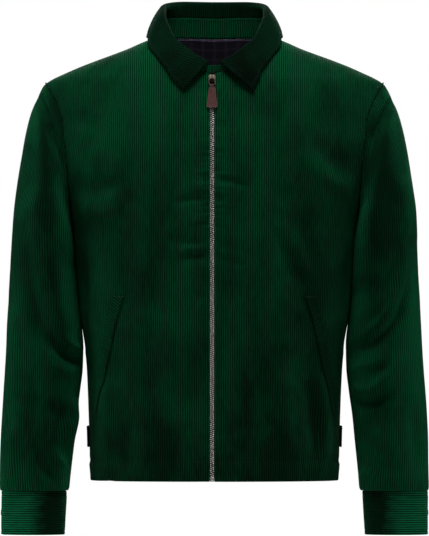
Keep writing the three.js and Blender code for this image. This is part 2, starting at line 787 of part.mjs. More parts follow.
function sliderShape() {
  const outline = [[-4.6, -4], [4.6, -4], [5, 2], [3.4, 5.5], [-3.4, 5.5], [-5, 2]]
  const body = solid(block(6.2, 3, 11, 0, 0.8, 0))
  const face = solid(plate(outline, 1.8).translate(0, -1.3, 0))
  const window = solid(block(4, 3, 4.4, 0, -3.9, 0))
  const bridge = solid(block(2.4, 4.8, 7.2, 0, -4.3, 0)).subtract(window)
  return fromSolid(body.add(face).add(bridge))
}

const slider = addPiece('zip_slider', sliderShape(), metal)
slider.position.set(...sliderSeat)
slider.rotation.x = -slideLean

// The ring hangs from the slider's bridge and carries the leather pull.
const pullLean = radians(22)
const pull = new THREE.Group()
pull.position.set(zipX, sliderSeat[1] - pivotLift * Math.cos(slideLean) + 0.7, sliderSeat[2] + 0.2)
pull.rotation.x = -pullLean
jacket.add(pull)

function ringPath(halfWidth, halfHeight, corner) {
  const points = []
  for (const [sx, sz, from] of [[1, 1, 0], [-1, 1, 90], [-1, -1, 180], [1, -1, 270]]) {
    for (const step of [0, 30, 60, 90]) {
      const turn = radians(from + step)
      const x = sx * (halfWidth - corner) + corner * Math.cos(turn)
      const z = sz * (halfHeight - corner) + corner * Math.sin(turn)
      points.push([x, z])
    }
  }
  return points
}

function wireRing(halfWidth, halfHeight, corner, wire, centreZ) {
  const sides = 6
  const path = ringPath(halfWidth, halfHeight, corner)
  const rings = path.map(([x, z], i) => {
    const [px, pz] = path.at(i - 1)
    const [nx, nz] = path[(i + 1) % path.length]
    const out = unit([nz - pz, 0, px - nx])
    return Array.from({ length: sides }, (_, k) => {
      const turn = (2 * Math.PI * k) / sides
      const centre = [x, 0, z + centreZ]
      return add(add(centre, out, wire * Math.cos(turn)), [0, 1, 0], wire * Math.sin(turn))
    })
  })
  const positions = rings.flat(2)
  const index = []
  rings.forEach((_, i) => {
    const next = (i + 1) % rings.length
    for (let k = 0; k < sides; k++) {
      const l = (k + 1) % sides
      const [a, b, c, d] = [i * sides + k, next * sides + k, next * sides + l, i * sides + l]
      index.push(a, b, c, a, c, d)
    }
  })
  const geometry = new THREE.BufferGeometry()
  geometry.setAttribute('position', new THREE.Float32BufferAttribute(positions, 3))
  geometry.setIndex(index)
  return facingOut(geometry)
}

const ringHalfHeight = 5.4
addPiece('pull_ring', wireRing(4.6, ringHalfHeight, 2.2, 0.7, -ringHalfHeight), metal, pull)

function pullTab() {
  const barZ = -2 * ringHalfHeight
  const half = [[2.6, 1.6], [2.7, -2], [4.6, -4.6], [8, -31.4], [7.4, -33.3], [5.6, -34.2]]
  const right = half.map(([x, z]) => [x, barZ + z])
  const outline = [...right, ...right.map(([x, z]) => [-x, z]).reverse()]
  const loop = solid(rod(2.1, 5.2, 0, barZ))
  const hole = solid(rod(1.1, 12, 0, barZ))
  return fromSolid(solid(plate(outline, 2.4)).add(loop).subtract(hole))
}

addPiece('zip_pull', pullTab(), leather, pull)

export default jacket
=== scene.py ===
import bmesh
import bpy
import numpy as np
from mathutils import Matrix, Vector


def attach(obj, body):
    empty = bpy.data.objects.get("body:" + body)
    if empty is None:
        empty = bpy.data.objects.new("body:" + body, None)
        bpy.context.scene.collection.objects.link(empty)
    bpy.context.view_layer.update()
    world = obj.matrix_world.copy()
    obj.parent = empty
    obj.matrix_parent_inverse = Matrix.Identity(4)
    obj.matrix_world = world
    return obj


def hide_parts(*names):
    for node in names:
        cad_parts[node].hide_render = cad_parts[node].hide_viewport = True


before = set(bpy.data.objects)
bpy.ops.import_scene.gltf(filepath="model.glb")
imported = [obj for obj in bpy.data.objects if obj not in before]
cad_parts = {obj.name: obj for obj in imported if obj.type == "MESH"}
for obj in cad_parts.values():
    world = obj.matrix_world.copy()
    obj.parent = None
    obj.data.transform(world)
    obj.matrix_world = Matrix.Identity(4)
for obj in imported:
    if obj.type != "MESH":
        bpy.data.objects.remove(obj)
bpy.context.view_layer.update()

# Lengths are millimetres until a mesh is made. Angles on the body run from the centre front, 0,
# over the side, 90, to the centre back, 180. The wearer's left is +X, side 1.
cutting = {
    "clothThickness": 2.0,
    "seamGap": 0.3,
    "cordPitch": 3.25,
    "hemZ": -637,
    "underarmZ": -275,
    "shoulderTipZ": -61.5,
    "neckPointZ": 6,
    "frontNeckZ": -49,
    "backNeckZ": 4,
    "frontChestZ": -150,
    "backChestZ": -105,
    "armholeFront": 64,
    "armholeBack": 68,
    "zipX": -3.5,
    "zipOpening": 7.2,
    "sleeveSquareness": 2.25,
    "sideRows": 9,
    "armRows": 12,
    "shoulderRows": 5,
    "finePerRow": 7,
    "fineColumns": 96,
}
pitch = cutting["cordPitch"]
zipX = cutting["zipX"]
armMiddleZ = (cutting["underarmZ"] + cutting["shoulderTipZ"]) / 2
armHalf = (cutting["shoulderTipZ"] - cutting["underarmZ"]) / 2

# height, half width, depth in front, depth behind, squareness of the section
torsoTable = [
    (-637, 179, 131, 126, 2.4), (-609, 180.5, 132, 126, 2.4), (-557, 182, 133, 125, 2.4),
    (-478, 185, 134, 123, 2.4), (-450, 187.6, 135, 122, 2.4), (-406, 195.5, 136, 121, 2.4),
    (-333, 203.5, 136, 121, 2.4), (-275, 207.5, 135, 122, 2.38), (-240, 218, 133, 122, 2.3),
    (-200, 235, 130, 122, 2.15), (-162, 249, 126, 120, 2.02), (-140, 255, 122, 117, 1.96),
    (-105, 256, 113, 110, 1.9), (-85, 254, 106, 104, 1.9), (-70, 249.5, 99.5, 99, 1.93),
    (-61.5, 243.5, 96, 95, 1.95), (-55, 233, 93, 92.5, 2), (-46.4, 214.5, 88.5, 89, 2),
    (-37.7, 194.5, 84, 84.5, 2.05), (-29, 172, 79, 79, 2.1), (-20.3, 148, 73.5, 73, 2.15),
    (-11.6, 125, 68, 67, 2.2), (-2.9, 105.5, 62, 60.5, 2.2), (6, 83, 54, 54, 2.2),
]
# the largest folds: start angle and height, end angle and height, width, depth
bodyFolds = {
    "left": [(34, -452, 50, -600, 26, -3.5), (60, -560, 54, -637, 24, 3), (18, -240, 50, -175, 24, -2.5)],
    "right": [(56, -540, 50, -637, 26, -3.5), (40, -470, 47, -600, 26, 2.5), (22, -250, 52, -180, 24, -2.5)],
    "back": [(128, -120, 141, -420, 30, -4), (100, -420, 138, -520, 26, -3)],
    # where the sleeve rests against the body's side
    "sides": [(90, -262, 90, -452, 26, -5)],
}
# ring, outer x, outer z, inner x, inner z, depth in front, depth behind, middle y
sleeveTable = [
    (0, 243.5, -61.5, 207.5, -275, 64, 68, 0), (1, 247.5, -65.5, 207.4, -273.2, 66, 69, 0),
    (2, 252, -73, 207.2, -275, 68, 71, 0), (3, 258.5, -86, 206.6, -279.5, 71, 73, 0),
    (4, 266, -104, 205.8, -285, 75, 76, 0), (5, 273, -129, 204.8, -292, 78, 79, 0),
    (6, 279.5, -160, 204, -301, 80, 81, 0), (7, 285.5, -197, 202.8, -314, 80, 81, 0),
    (8, 289.8, -236, 201.1, -331, 78, 80, 0), (9, 293, -280, 198.6, -353, 75, 78, -1),
    (10, 295.6, -327, 195.8, -380, 71, 75, -2), (11, 298, -376, 193, -410, 67, 70, -3),
    (12, 301, -424, 190.2, -442, 63, 66, -4), (13, 303.4, -470, 190.8, -474, 60, 62, -6),
    (14, 305.4, -507, 194.5, -507, 57, 59, -8), (15, 307.4, -542, 199.5, -542, 54, 55, -10),
    (16, 309.3, -578, 203, -578, 50, 51, -12), (17, 310.2, -615, 207, -615, 46, 47, -14),
    (18, 310.8, -651.7, 210.8, -651.7, 43, 43, -15),
]
# start angle and ring, end angle and ring, width, depth
sleeveFolds = {
    "left": [(12, 3.2, 84, 1.6, 9, -3.5), (30, 9.6, 140, 12, 17, -3.5), (60, 13.2, 175, 12.6, 14, -3),
             (70, 15, 170, 16, 16, -2.5), (200, 12, 320, 10, 18, -3.5)],
    "right": [(12, 3.2, 84, 1.6, 9, -3.5), (70, 11.4, 170, 13, 16, -4), (40, 14.2, 165, 15.2, 15, -3),
              (80, 16.4, 170, 16.9, 14, -2.5), (205, 11.5, 325, 10.5, 18, -3.5)],
}
# share of the way from the back neck to the front, x, y, z
rollTable = [
    (0, 0, 58, 53), (0.15, 36, 53, 53), (0.3, 62, 33, 50.5), (0.42, 71, 8, 45), (0.52, 71, -14, 35),
    (0.62, 65.5, -34, 19), (0.72, 57, -52, 1.5), (0.82, 44, -66, -11), (0.92, 25.5, -78, -25.5),
    (1, 9.8, -87, -35),
]
# share of the way, angle and height of the place on the body under the fall's edge
fallEdgeTable = [
    (0, 180, -6), (0.15, 160, -6), (0.3, 132, -2.5), (0.42, 96, 1), (0.52, 67, -1.6), (0.6, 46.7, -11.5),
    (0.68, 30.6, -24), (0.76, 22.4, -36.5), (0.84, 17.6, -49), (0.92, 14.3, -63.5), (1, 12.2, -76),
]
# depth below the sleeve's end, outer x, inner x, half depth, middle y
cuffTable = [(0, 310.8, 210.8, 43, -15), (30, 311, 212.2, 41.5, -15.5), (63.5, 311, 214, 40, -16)]


# Camera and light


def aim(place, target):
    eye = np.subtract(target, place)
    pan = np.arctan2(eye[1], eye[0]) - np.pi / 2
    tilt = np.arctan2(eye[2], np.hypot(eye[0], eye[1])) + np.pi / 2
    return (tilt, 0, pan)


studio = {
    "cameraAt": (0, -15.0, -0.3295),
    "lookAt": (0, 0, -0.3295),
    "lens": 694.75,
    "floorZ": -1.45,
    "backgroundWhite": 1.0,
    "ambient": 0.045,
    # name: place, target, size, watts
    "lights": {
        "topSoft": ((0.0, -0.85, 2.5), (0, 0, -0.2), 1.5, 120),
        "leftSoft": ((-2.6, -0.3, -0.35), (0, 0, -0.45), 1.1, 30),
        "rightSoft": ((2.6, -0.3, -0.35), (0, 0, -0.45), 1.1, 18),
        "frontSoft": ((0.3, -3.6, 0.5), (0, 0, -0.3), 1.6, 6),
        "backSoft": ((0.0, 2.6, 0.9), (0, 0, -0.3), 2.4, 95),
    },
}


def buildStudio():
    scene = bpy.context.scene
    cameraData = bpy.data.cameras.new("camera")
    cameraData.lens = studio["lens"]
    cameraData.sensor_width = 36
    cameraData.clip_end = 50
    camera = bpy.data.objects.new("camera", cameraData)
    camera.location = studio["cameraAt"]
    camera.rotation_euler = aim(studio["cameraAt"], studio["lookAt"])
    scene.collection.objects.link(camera)
    scene.camera = camera
    scene.view_settings.view_transform = "Standard"
    for name, (place, target, size, watts) in studio["lights"].items():
        lightData = bpy.data.lights.new(name, "AREA")
        lightData.shape = "DISK"
        lightData.size = size
        lightData.energy = watts
        light = bpy.data.objects.new(name, lightData)
        light.location = place
        light.rotation_euler = aim(place, target)
        light.visible_camera = False
        scene.collection.objects.link(light)
    world = bpy.data.worlds.new("studioWorld")
    scene.world = world
    world.use_nodes = True
    nodes, links = world.node_tree.nodes, world.node_tree.links
    nodes.clear()
    seen = nodes.new("ShaderNodeBackground")
    seen.inputs["Strength"].default_value = studio["backgroundWhite"]
    seen.inputs["Color"].default_value = (1, 1, 1, 1)
    lit = nodes.new("ShaderNodeBackground")
    lit.inputs["Strength"].default_value = studio["ambient"]
    lit.inputs["Color"].default_value = (1, 1, 1, 1)
    path = nodes.new("ShaderNodeLightPath")
    mix = nodes.new("ShaderNodeMixShader")
    out = nodes.new("ShaderNodeOutputWorld")
    links.new(path.outputs["Is Camera Ray"], mix.inputs[0])
    links.new(lit.outputs[0], mix.inputs[1])
    links.new(seen.outputs[0], mix.inputs[2])
    links.new(mix.outputs[0], out.inputs[0])
    bpy.ops.mesh.primitive_circle_add(vertices=96, radius=3.2, fill_type="NGON", location=(0, 0, studio["floorZ"]))
    floor = bpy.context.object
    floor.name = "floor"
    bpy.ops.object.transform_apply(location=True, rotation=True, scale=True)
    return floor


floor = buildStudio()
print("camera and light are set")


# Materials


class Value:
    # wraps a number socket so that sums read as sums
    def __init__(self, shader, socket):
        self.shader, self.socket = shader, socket

    def math(self, operation, *others):
        node = self.shader.node("ShaderNodeMath", {"operation": operation}, [self, *others])
        return Value(self.shader, node.outputs[0])

    def __add__(self, other):
        return self.math("ADD", other)

    def __radd__(self, other):
        return self.math("ADD", other)

    def __sub__(self, other):
        return self.math("SUBTRACT", other)

    def __rsub__(self, other):
        return (self * -1).math("ADD", other)

    def __mul__(self, other):
        return self.math("MULTIPLY", other)

    def __rmul__(self, other):
        return self.math("MULTIPLY", other)

    def __truediv__(self, other):
        return self.math("DIVIDE", other)

    def __pow__(self, other):
        return self.math("POWER", other)

    def fraction(self):
        return self.math("FRACT")

    def size(self):
        return self.math("ABSOLUTE")

    def clamped(self):
        node = self.shader.node("ShaderNodeClamp", {}, [self, 0.0, 1.0])
        return Value(self.shader, node.outputs[0])


class Shader:
    def __init__(self, name, preview):
        self.material = bpy.data.materials.new(name)
        self.material.use_nodes = True
        self.material.diffuse_color = (*preview, 1)
        self.tree = self.material.node_tree
        self.surface = next(n for n in self.tree.nodes if n.type == "BSDF_PRINCIPLED")

    def node(self, kind, settings, inputs=()):
        made = self.tree.nodes.new(kind)
        for key, setting in settings.items():
            setattr(made, key, setting)
        pairs = inputs.items() if isinstance(inputs, dict) else enumerate(inputs)
        for key, given in pairs:
            if isinstance(given, Value):
                self.tree.links.new(given.socket, made.inputs[key])
            elif isinstance(given, bpy.types.NodeSocket):
                self.tree.links.new(given, made.inputs[key])
            else:
                made.inputs[key].default_value = given
        return made

    def threads(self, across=1.0, along=1.0):
        # the piece's own map: across the cords and along them, counted in cords
        uv = self.node("ShaderNodeUVMap", {"uv_map": "cords"}).outputs[0]
        apart = self.node("ShaderNodeSeparateXYZ", {}, [uv])
        return Value(self, apart.outputs[0]) * across, Value(self, apart.outputs[1]) * along

    def place(self):
        return self.node("ShaderNodeTexCoord", {}).outputs["Object"]

    def joined(self, x, y, z=0.0):
        return self.node("ShaderNodeCombineXYZ", {}, [x, y, z]).outputs[0]

    def noise(self, vector, scale, detail=2.0, rough=0.5):
        made = self.node("ShaderNodeTexNoise", {"noise_dimensions": "3D"},
                         {"Vector": vector, "Scale": scale, "Detail": detail, "Roughness": rough})
        return Value(self, made.outputs[0])

    def mix(self, share, first, second, blend="MIX"):
        made = self.node("ShaderNodeMix", {"data_type": "RGBA", "blend_type": blend})
        for key, given in ((0, share), (6, first), (7, second)):
            if isinstance(given, Value):
                self.tree.links.new(given.socket, made.inputs[key])
            elif isinstance(given, bpy.types.NodeSocket):
                self.tree.links.new(given, made.inputs[key])
            else:
                made.inputs[key].default_value = (*given, 1) if isinstance(given, tuple) else given
        return made.outputs[2]

    def bump(self, height, distance, strength=1.0):
        made = self.node("ShaderNodeBump", {},
                         {"Height": height, "Distance": distance, "Strength": strength})
        return made.outputs[0]

    def finish(self, **sockets):
        for name, given in sockets.items():
            key = name.replace("_", " ")
            if isinstance(given, Value):
                given = given.socket
            if isinstance(given, bpy.types.NodeSocket):
                self.tree.links.new(given, self.surface.inputs[key])
            else:
                self.surface.inputs[key].default_value = given
        return self.material


# Colours are linear. rib is the pile's lit top; shadedGroove is the ground between two ribs, darkened with painted
# shade.
# napAndPaintedLight is the share of worn pile plus painted light and shade; laid is how much it grows a metre upwards,
# outward how much it grows a metre away from the middle, past the distance in from. Upwards it paints light on the
# shoulders and collar, shade on the belly and, on the sleeves, shade on the caps; outward it paints shade on the
# body's sides and light on the outer sleeves and cuffs.
cordLook = {
    "body": {"rib": (0.0004, 0.0125, 0.0040), "shadedGroove": (0.0002, 0.0020, 0.0007), "worn": (0.0011, 0.053, 0.0177),
             "sheenTint": (0.02, 0.42, 0.16, 1), "sheen": 0.10, "bump": 0.0011, "napAndPaintedLight": 0.66,
             "laid": 1.5, "outward": -3.4, "from": 0.05, "narrow": 1.3},
    "sleeve": {"rib": (0.0004, 0.0125, 0.0040), "shadedGroove": (0.0002, 0.0020, 0.0007), "worn": (0.0011, 0.053, 0.0177),
               "sheenTint": (0.02, 0.42, 0.16, 1), "sheen": 0.16, "bump": 0.0011, "napAndPaintedLight": 0.38,
               "laid": -1.5, "outward": 3.0, "from": 0.27, "narrow": 1.3},
    # The cuff's brighter worn colour and its steep outward slope paint light on the cuffs' outer halves and shade on
    # their inner halves.
    "cuff": {"rib": (0.0003, 0.0100, 0.0033), "shadedGroove": (0.0001, 0.0008, 0.0003), "worn": (0.0026, 0.096, 0.0360),
             "sheenTint": (0.02, 0.42, 0.16, 1), "sheen": 0.18, "bump": 0.0011, "napAndPaintedLight": 0.08,
             "laid": 0.0, "outward": 14.0, "from": 0.230, "narrow": 1.3},
    "collar": {"rib": (0.0002, 0.0024, 0.0009), "shadedGroove": (0.0001, 0.0003, 0.0001), "worn": (0.0008, 0.0150, 0.0060),
               "sheenTint": (0.02, 0.24, 0.10, 1), "sheen": 0.12, "bump": 0.0010, "napAndPaintedLight": 0.24,
               "laid": 1.5, "outward": 0.0, "from": 0.0, "narrow": 1.7},
}


def corduroy(name, look):
    shader = Shader(name, look["rib"])
    across, along = shader.threads()
    wander = shader.noise(shader.joined(across * 0.06, along * 0.11), 1.0, 2.0)
    phase = (across + (wander - 0.5) * 0.5).fraction()
    side = (phase * 2 - 1).size()
    rib = (1 - side * side).clamped() ** look["narrow"]
    pile = shader.noise(shader.joined(across * 4.0, along * 1.3), 1.0, 3.0, 0.62)
    fibre = shader.noise(shader.joined(across * 13.0, along * 5.0), 1.0, 2.0, 0.6)
    combed = shader.noise(shader.joined(across * 0.9, along * 0.16), 1.0, 2.0)
    brushed = shader.noise(shader.place(), 8.0, 3.0, 0.55)
    cloudy = shader.noise(shader.place(), 26.0, 2.0, 0.5)
    apart = shader.node("ShaderNodeSeparateXYZ", {}, [shader.place()])
    x, y, z = [Value(shader, socket) for socket in apart.outputs]
    streaks = shader.noise(shader.joined(x * 15 + 7, y * 15, z * 3), 1.0, 2.0, 0.5)
    # Painted light and shade, added to the pile's random wear: the share grows or falls a metre upwards and away from
    # the middle by each look's slopes, so the worn colour below also stands for painted light.
    laid = (z + 0.32) * look["laid"] + (x.size() - look["from"]).math("MAXIMUM", 0.0) * look["outward"]
    napAndPaintedLight = ((brushed - 0.5) * 1.5 + (combed - 0.5) * 1.0 + (cloudy - 0.5) * 0.9 + (streaks - 0.5) * 2.2
           + laid + look["napAndPaintedLight"]).clamped()
    top = shader.mix(napAndPaintedLight, look["rib"], look["worn"])
    # Colour across a cord: the ground between ribs takes the groove colour, its own ground plus painted shade, and the
    # rib thinned by the narrow power puts a painted highlight on each crest; the same rib also shapes the bump.
    depth = (rib * 1.15 - 0.12 + (pile - 0.5) * 0.7 + (fibre - 0.5) * 0.7).clamped()
    colour = shader.mix(depth, look["shadedGroove"], top)
    height = rib + (pile - 0.5) * 0.35 + (fibre - 0.5) * 0.3
    return shader.finish(
        Base_Color=colour,
        Roughness=0.86,
        Sheen_Weight=look["sheen"],
        Sheen_Roughness=0.42,
        Sheen_Tint=look["sheenTint"],
        Specular_IOR_Level=0.02,
        Normal=shader.bump(height, look["bump"]),
    )


liningLook = {
    "ground": (0.020, 0.0215, 0.0360), "stripe": (0.100, 0.046, 0.094), "blue": (0.024, 0.070, 0.100),
    "threadsPerCord": 11.0, "checkWide": 5.2,
}


def liningCloth():
    shader = Shader("liningCloth", liningLook["ground"])
    across, along = shader.threads()
    wide = liningLook["checkWide"]
    warpLine = ((across / wide).fraction() - 0.5).size()
    weftLine = ((along / wide).fraction() - 0.5).size()
    warp = ((warpLine - 0.30) * 7).clamped()
    weft = ((weftLine - 0.34) * 8).clamped()
    fine = liningLook["threadsPerCord"]
    yarn = (across * fine).fraction() * 0.5 + (along * fine * 0.5 + across * fine).fraction() * 0.5
    soft = shader.noise(shader.joined(across * 0.4, along * 0.4), 1.0, 2.0)
    colour = shader.mix((warp + weft).clamped() * 0.55, liningLook["ground"], liningLook["stripe"])
    colour = shader.mix((warp * weft + (soft - 0.4) * 0.3).clamped() * 0.7, colour, liningLook["blue"])
    return shader.finish(
        Base_Color=colour,
        Roughness=yarn * 0.12 + 0.46,
        Sheen_Weight=0.04,
        Sheen_Tint=(0.30, 0.28, 0.45, 1),
        Specular_IOR_Level=0.2,
        Normal=shader.bump(yarn + soft * 0.6, 0.00012),
    )


def pullLeather():
    shader = Shader("pullLeather", (0.06, 0.03, 0.03))
    spot = shader.place()
    cells = Value(shader, shader.node("ShaderNodeTexVoronoi", {"feature": "DISTANCE_TO_EDGE"},
                                      {"Vector": spot, "Scale": 3600.0}).outputs[0])
    grain = (cells * 9).clamped()
    worn = shader.noise(spot, 220.0, 3.0)
    colour = shader.mix((worn * 1.5 - 0.25).clamped(), (0.034, 0.0115, 0.0105), (0.078, 0.030, 0.027))
    colour = shader.mix(grain * 0.25 + 0.75, (0.016, 0.006, 0.006), colour)
    return shader.finish(
        Base_Color=colour,
        Roughness=worn * 0.2 + 0.46,
        Specular_IOR_Level=0.10,
        Normal=shader.bump(grain + worn * 0.5, 0.00007),
    )


def rawEdge():
    shader = Shader("rawEdge", (0.2, 0.12, 0.1))
    fibre = shader.noise(shader.place(), 900.0, 2.0)
    colour = shader.mix(fibre, (0.11, 0.055, 0.048), (0.26, 0.16, 0.14))
    return shader.finish(Base_Color=colour, Roughness=0.7, Normal=shader.bump(fibre, 0.0001))


def zipMetal(name, bright, dark, rough):
    shader = Shader(name, bright)
    spot = shader.place()
    tarnish = shader.noise(spot, 420.0, 3.0, 0.6)
    scratch = shader.noise(spot, 2600.0, 2.0)
    colour = shader.mix((tarnish * 1.6 - 0.3).clamped(), dark, bright)
    return shader.finish(
        Base_Color=colour,
        Metallic=1.0,
        Roughness=tarnish * 0.2 + rough + scratch * 0.06,
        Normal=shader.bump(scratch + tarnish, 0.00004),
    )


def wovenTape():
    shader = Shader("wovenTape", (0.004, 0.012, 0.008))
    apart = shader.node("ShaderNodeSeparateXYZ", {}, [shader.place()])
    across = Value(shader, apart.outputs[0]) * 1400
    down = Value(shader, apart.outputs[2]) * 1000
    yarn = ((across.fraction() - 0.5).size() + ((down + across * 0.5).fraction() - 0.5).size())
    colour = shader.mix(yarn.clamped(), (0.0012, 0.005, 0.003), (0.006, 0.024, 0.014))
    return shader.finish(Base_Color=colour, Roughness=0.82, Normal=shader.bump(yarn, 0.0002))


def buttonHorn():
    shader = Shader("buttonHorn", (0.006, 0.02, 0.013))
    swirl = shader.noise(shader.place(), 160.0, 4.0, 0.65)
    colour = shader.mix((swirl * 2.2 - 0.6).clamped(), (0.0025, 0.008, 0.006), (0.010, 0.030, 0.020))
    return shader.finish(
        Base_Color=colour, Roughness=swirl * 0.12 + 0.26, Coat_Weight=0.25,
        Normal=shader.bump(swirl, 0.00005),
    )


def sewingThread():
    shader = Shader("sewingThread", (0.004, 0.06, 0.028))
    twist = shader.noise(shader.place(), 2400.0, 1.0)
    colour = shader.mix(twist, (0.0003, 0.0075, 0.0027), (0.0007, 0.016, 0.006))
    return shader.finish(Base_Color=colour, Roughness=0.7, Specular_IOR_Level=0.15,
                         Normal=shader.bump(twist, 0.0001))


def floorPaper():
    shader = Shader("floorPaper", (0.9, 0.9, 0.9))
    grain = shader.noise(shader.place(), 60.0, 2.0)
    colour = shader.mix(grain, (0.86, 0.86, 0.86), (0.92, 0.92, 0.92))
    return shader.finish(Base_Color=colour, Roughness=0.8)


finishes = {
    "cord": corduroy("bodyCorduroy", cordLook["body"]),
    "sleeveCord": corduroy("sleeveCorduroy", cordLook["sleeve"]),
    "cuffCord": corduroy("cuffCorduroy", cordLook["cuff"]),
    "darkCord": corduroy("collarCorduroy", cordLook["collar"]),
    "lining": liningCloth(),
    "leather": pullLeather(),
    "edge": rawEdge(),
    "metal": zipMetal("zipMetal", (0.52, 0.51, 0.48), (0.14, 0.135, 0.125), 0.30),
    "oldMetal": zipMetal("pullMetal", (0.105, 0.083, 0.064), (0.03, 0.024, 0.020), 0.42),
    "tape": wovenTape(),
    "horn": buttonHorn(),
    "thread": sewingThread(),
}
floor.data.materials.append(floorPaper())
print("materials are made")


# The cut: the same forms as the solids, sampled more finely


def curve(rows):
    # a smooth line through a table's rows that never overshoots them
    table = np.array(rows, float)
    keys, values = table[:, 0], table[:, 1:]
    span = np.diff(keys)
    rise = np.diff(values, axis=0) / span[:, None]
    slope = np.zeros_like(values)
    slope[0], slope[-1] = rise[0], rise[-1]
    product, total = rise[:-1] * rise[1:], rise[:-1] + rise[1:]
    slope[1:-1] = np.where(product > 0, 2 * product / np.where(total == 0, 1, total), 0)

    def at(key):
        key = np.asarray(key, float)
        i = np.clip(np.searchsorted(keys, key, side="left") - 1, 0, len(keys) - 2)
        t = np.clip((key - keys[i]) / span[i], 0, 1)[..., None]
        ease = t * t * (3 - 2 * t)
        bend = t * (1 - t) * span[i][..., None] * ((1 - t) * slope[i] - t * slope[i + 1])
        return values[i] * (1 - ease) + values[i + 1] * ease + bend

    return at


torso, sleeve, roll = curve(torsoTable), curve(sleeveTable), curve(rollTable)
fallEdge, cuff = curve(fallEdgeTable), curve(cuffTable)
standShare = curve([(0, 0.62), (0.4, 0.66), (1, 0.86)])


def blend(a, b, t):
    return a + (b - a) * t


def unit(v):
    return v / np.maximum(np.linalg.norm(v, axis=-1, keepdims=True), 1e-9)


def mirrored(points, side):
    return points * np.array([side, 1, 1])


def eased(t):
    t = np.clip(t, 0, 1)
    return t * t * (3 - 2 * t)


def foldHeight(u, v, folds, uScale, vOf):
    # soft ridges and troughs along straight lines, fading towards both ends
    total = 0
    for u0, v0, u1, v1, width, depth in folds:
        ax, ay = u0 * uScale, vOf(v0)
        bx, by = u1 * uScale - ax, vOf(v1) - ay
        px, py = u * uScale - ax, vOf(v) - ay
        length = np.hypot(bx, by)
        along = (px * bx + py * by) / length**2
        across = (px * by - py * bx) / length / width
        inside = (along >= 0) & (along <= 1)
        fade = np.sin(np.pi * np.clip(along, 0, 1)) ** 0.8
        total = total + np.where(inside, depth * np.exp(-2 * across**2) * fade, 0)
    return total


def bodyPoint(angle, z, side=1):
    angle, z = np.broadcast_arrays(np.asarray(angle, float), np.asarray(z, float))
    halfWidth, front, back, square = np.moveaxis(torso(z), -1, 0)
    c, s = np.cos(np.radians(angle)), np.abs(np.sin(np.radians(angle)))
    x = halfWidth * s ** (2 / square)
    y = -np.sign(c) * np.where(c > 0, front, back) * np.abs(c) ** (2 / square)
    frontSwell = foldHeight(angle, z, bodyFolds["left" if side > 0 else "right"], 3, lambda v: v)
    backSwell = foldHeight(angle, z, bodyFolds["back"], 3, lambda v: v)
    sideSwell = foldHeight(angle, z, bodyFolds["sides"], 3, lambda v: v)
    k = 1 + (np.where(angle > 90, backSwell, frontSwell) + sideSwell) / np.hypot(x, y)
    return np.stack([x * k, y * k, z], -1)


def bodyNormal(angle, z, side=1):
    angle, z = np.broadcast_arrays(np.asarray(angle, float), np.asarray(z, float))
    around = bodyPoint(angle + 0.5, z, side) - bodyPoint(angle - 0.5, z, side)
    around = np.where((angle < 0.5)[..., None], np.array([1.0, 0, 0]), around)
    around = np.where((angle > 179.5)[..., None], np.array([-1.0, 0, 0]), around)
    up = bodyPoint(angle, z + 0.5, side) - bodyPoint(angle, z - 0.5, side)
    return unit(np.cross(around, up))


def bodyInside(angle, z, depth, side=1):
    return bodyPoint(angle, z, side) - bodyNormal(angle, z, side) * np.asarray(depth)[..., None]


def panelEnd(z, part):
    rise = np.clip((z - armMiddleZ) / armHalf, -1, 1)
    y = cutting["armholeFront" if part == "front" else "armholeBack"] * np.sqrt(1 - rise**2)
    section = torso(z)
    depth = section[..., 0 + (1 if part == "front" else 2)]
    turn = np.degrees(np.arccos(np.clip(y / depth, 0, 1) ** (section[..., 3] / 2)))
    return turn if part == "front" else 180 - turn


def frontAngle(x, z):
    section = torso(z)
    return np.degrees(np.arcsin((np.abs(x) / section[..., 0]) ** (section[..., 3] / 2)))


def panelPlace(part, t, row, startX=0):
    # angle and height of a panel's point: t is 0 at the centre line and 1 at the outer edge
    sideRows, armRows, shoulderRows = cutting["sideRows"], cutting["armRows"], cutting["shoulderRows"]
    chestZ = cutting["frontChestZ" if part == "front" else "backChestZ"]
    neckZ = cutting["frontNeckZ" if part == "front" else "backNeckZ"]
    low = np.interp(row, [0, sideRows, sideRows + armRows, sideRows + armRows + shoulderRows],
                    [cutting["hemZ"], cutting["underarmZ"], chestZ, neckZ])
    arm = np.clip((row - sideRows) / armRows, 0, 1)
    high = np.where(row <= sideRows, low, armMiddleZ - armHalf * np.cos(np.pi * arm))
    past = np.clip((row - sideRows - armRows) / shoulderRows, 0, 1)
    high = blend(high, cutting["neckPointZ"], past)
    neckShape = 1 - (1 - np.sin(np.radians(90 * t))) ** 1.5
    z = blend(low, high, blend(t * t, neckShape, arm))
    reach = 110 * (1 - t)
    end = sum(panelEnd(z + k * reach, part) for k in (-1, -0.5, 0, 0.5, 1)) / 5
    start = 180 if part == "back" else frontAngle(startX, z)
    return blend(start, end, t), z


def fineRows():
    count = cutting["sideRows"] + cutting["armRows"] + cutting["shoulderRows"]
    even = np.linspace(0, count, count * cutting["finePerRow"] + 1)
    return np.unique(np.concatenate([even, [0.012, 0.03, 0.06, count - 0.03, count - 0.08]]).round(6))


def fineColumns(count):
    u = np.linspace(0, 1, count + 1)
    share = u - 0.3 * np.sin(2 * np.pi * u) / (2 * np.pi)
    return np.unique(np.concatenate([share, [0.0015, 0.004, 0.9985, 0.996]]).round(6))


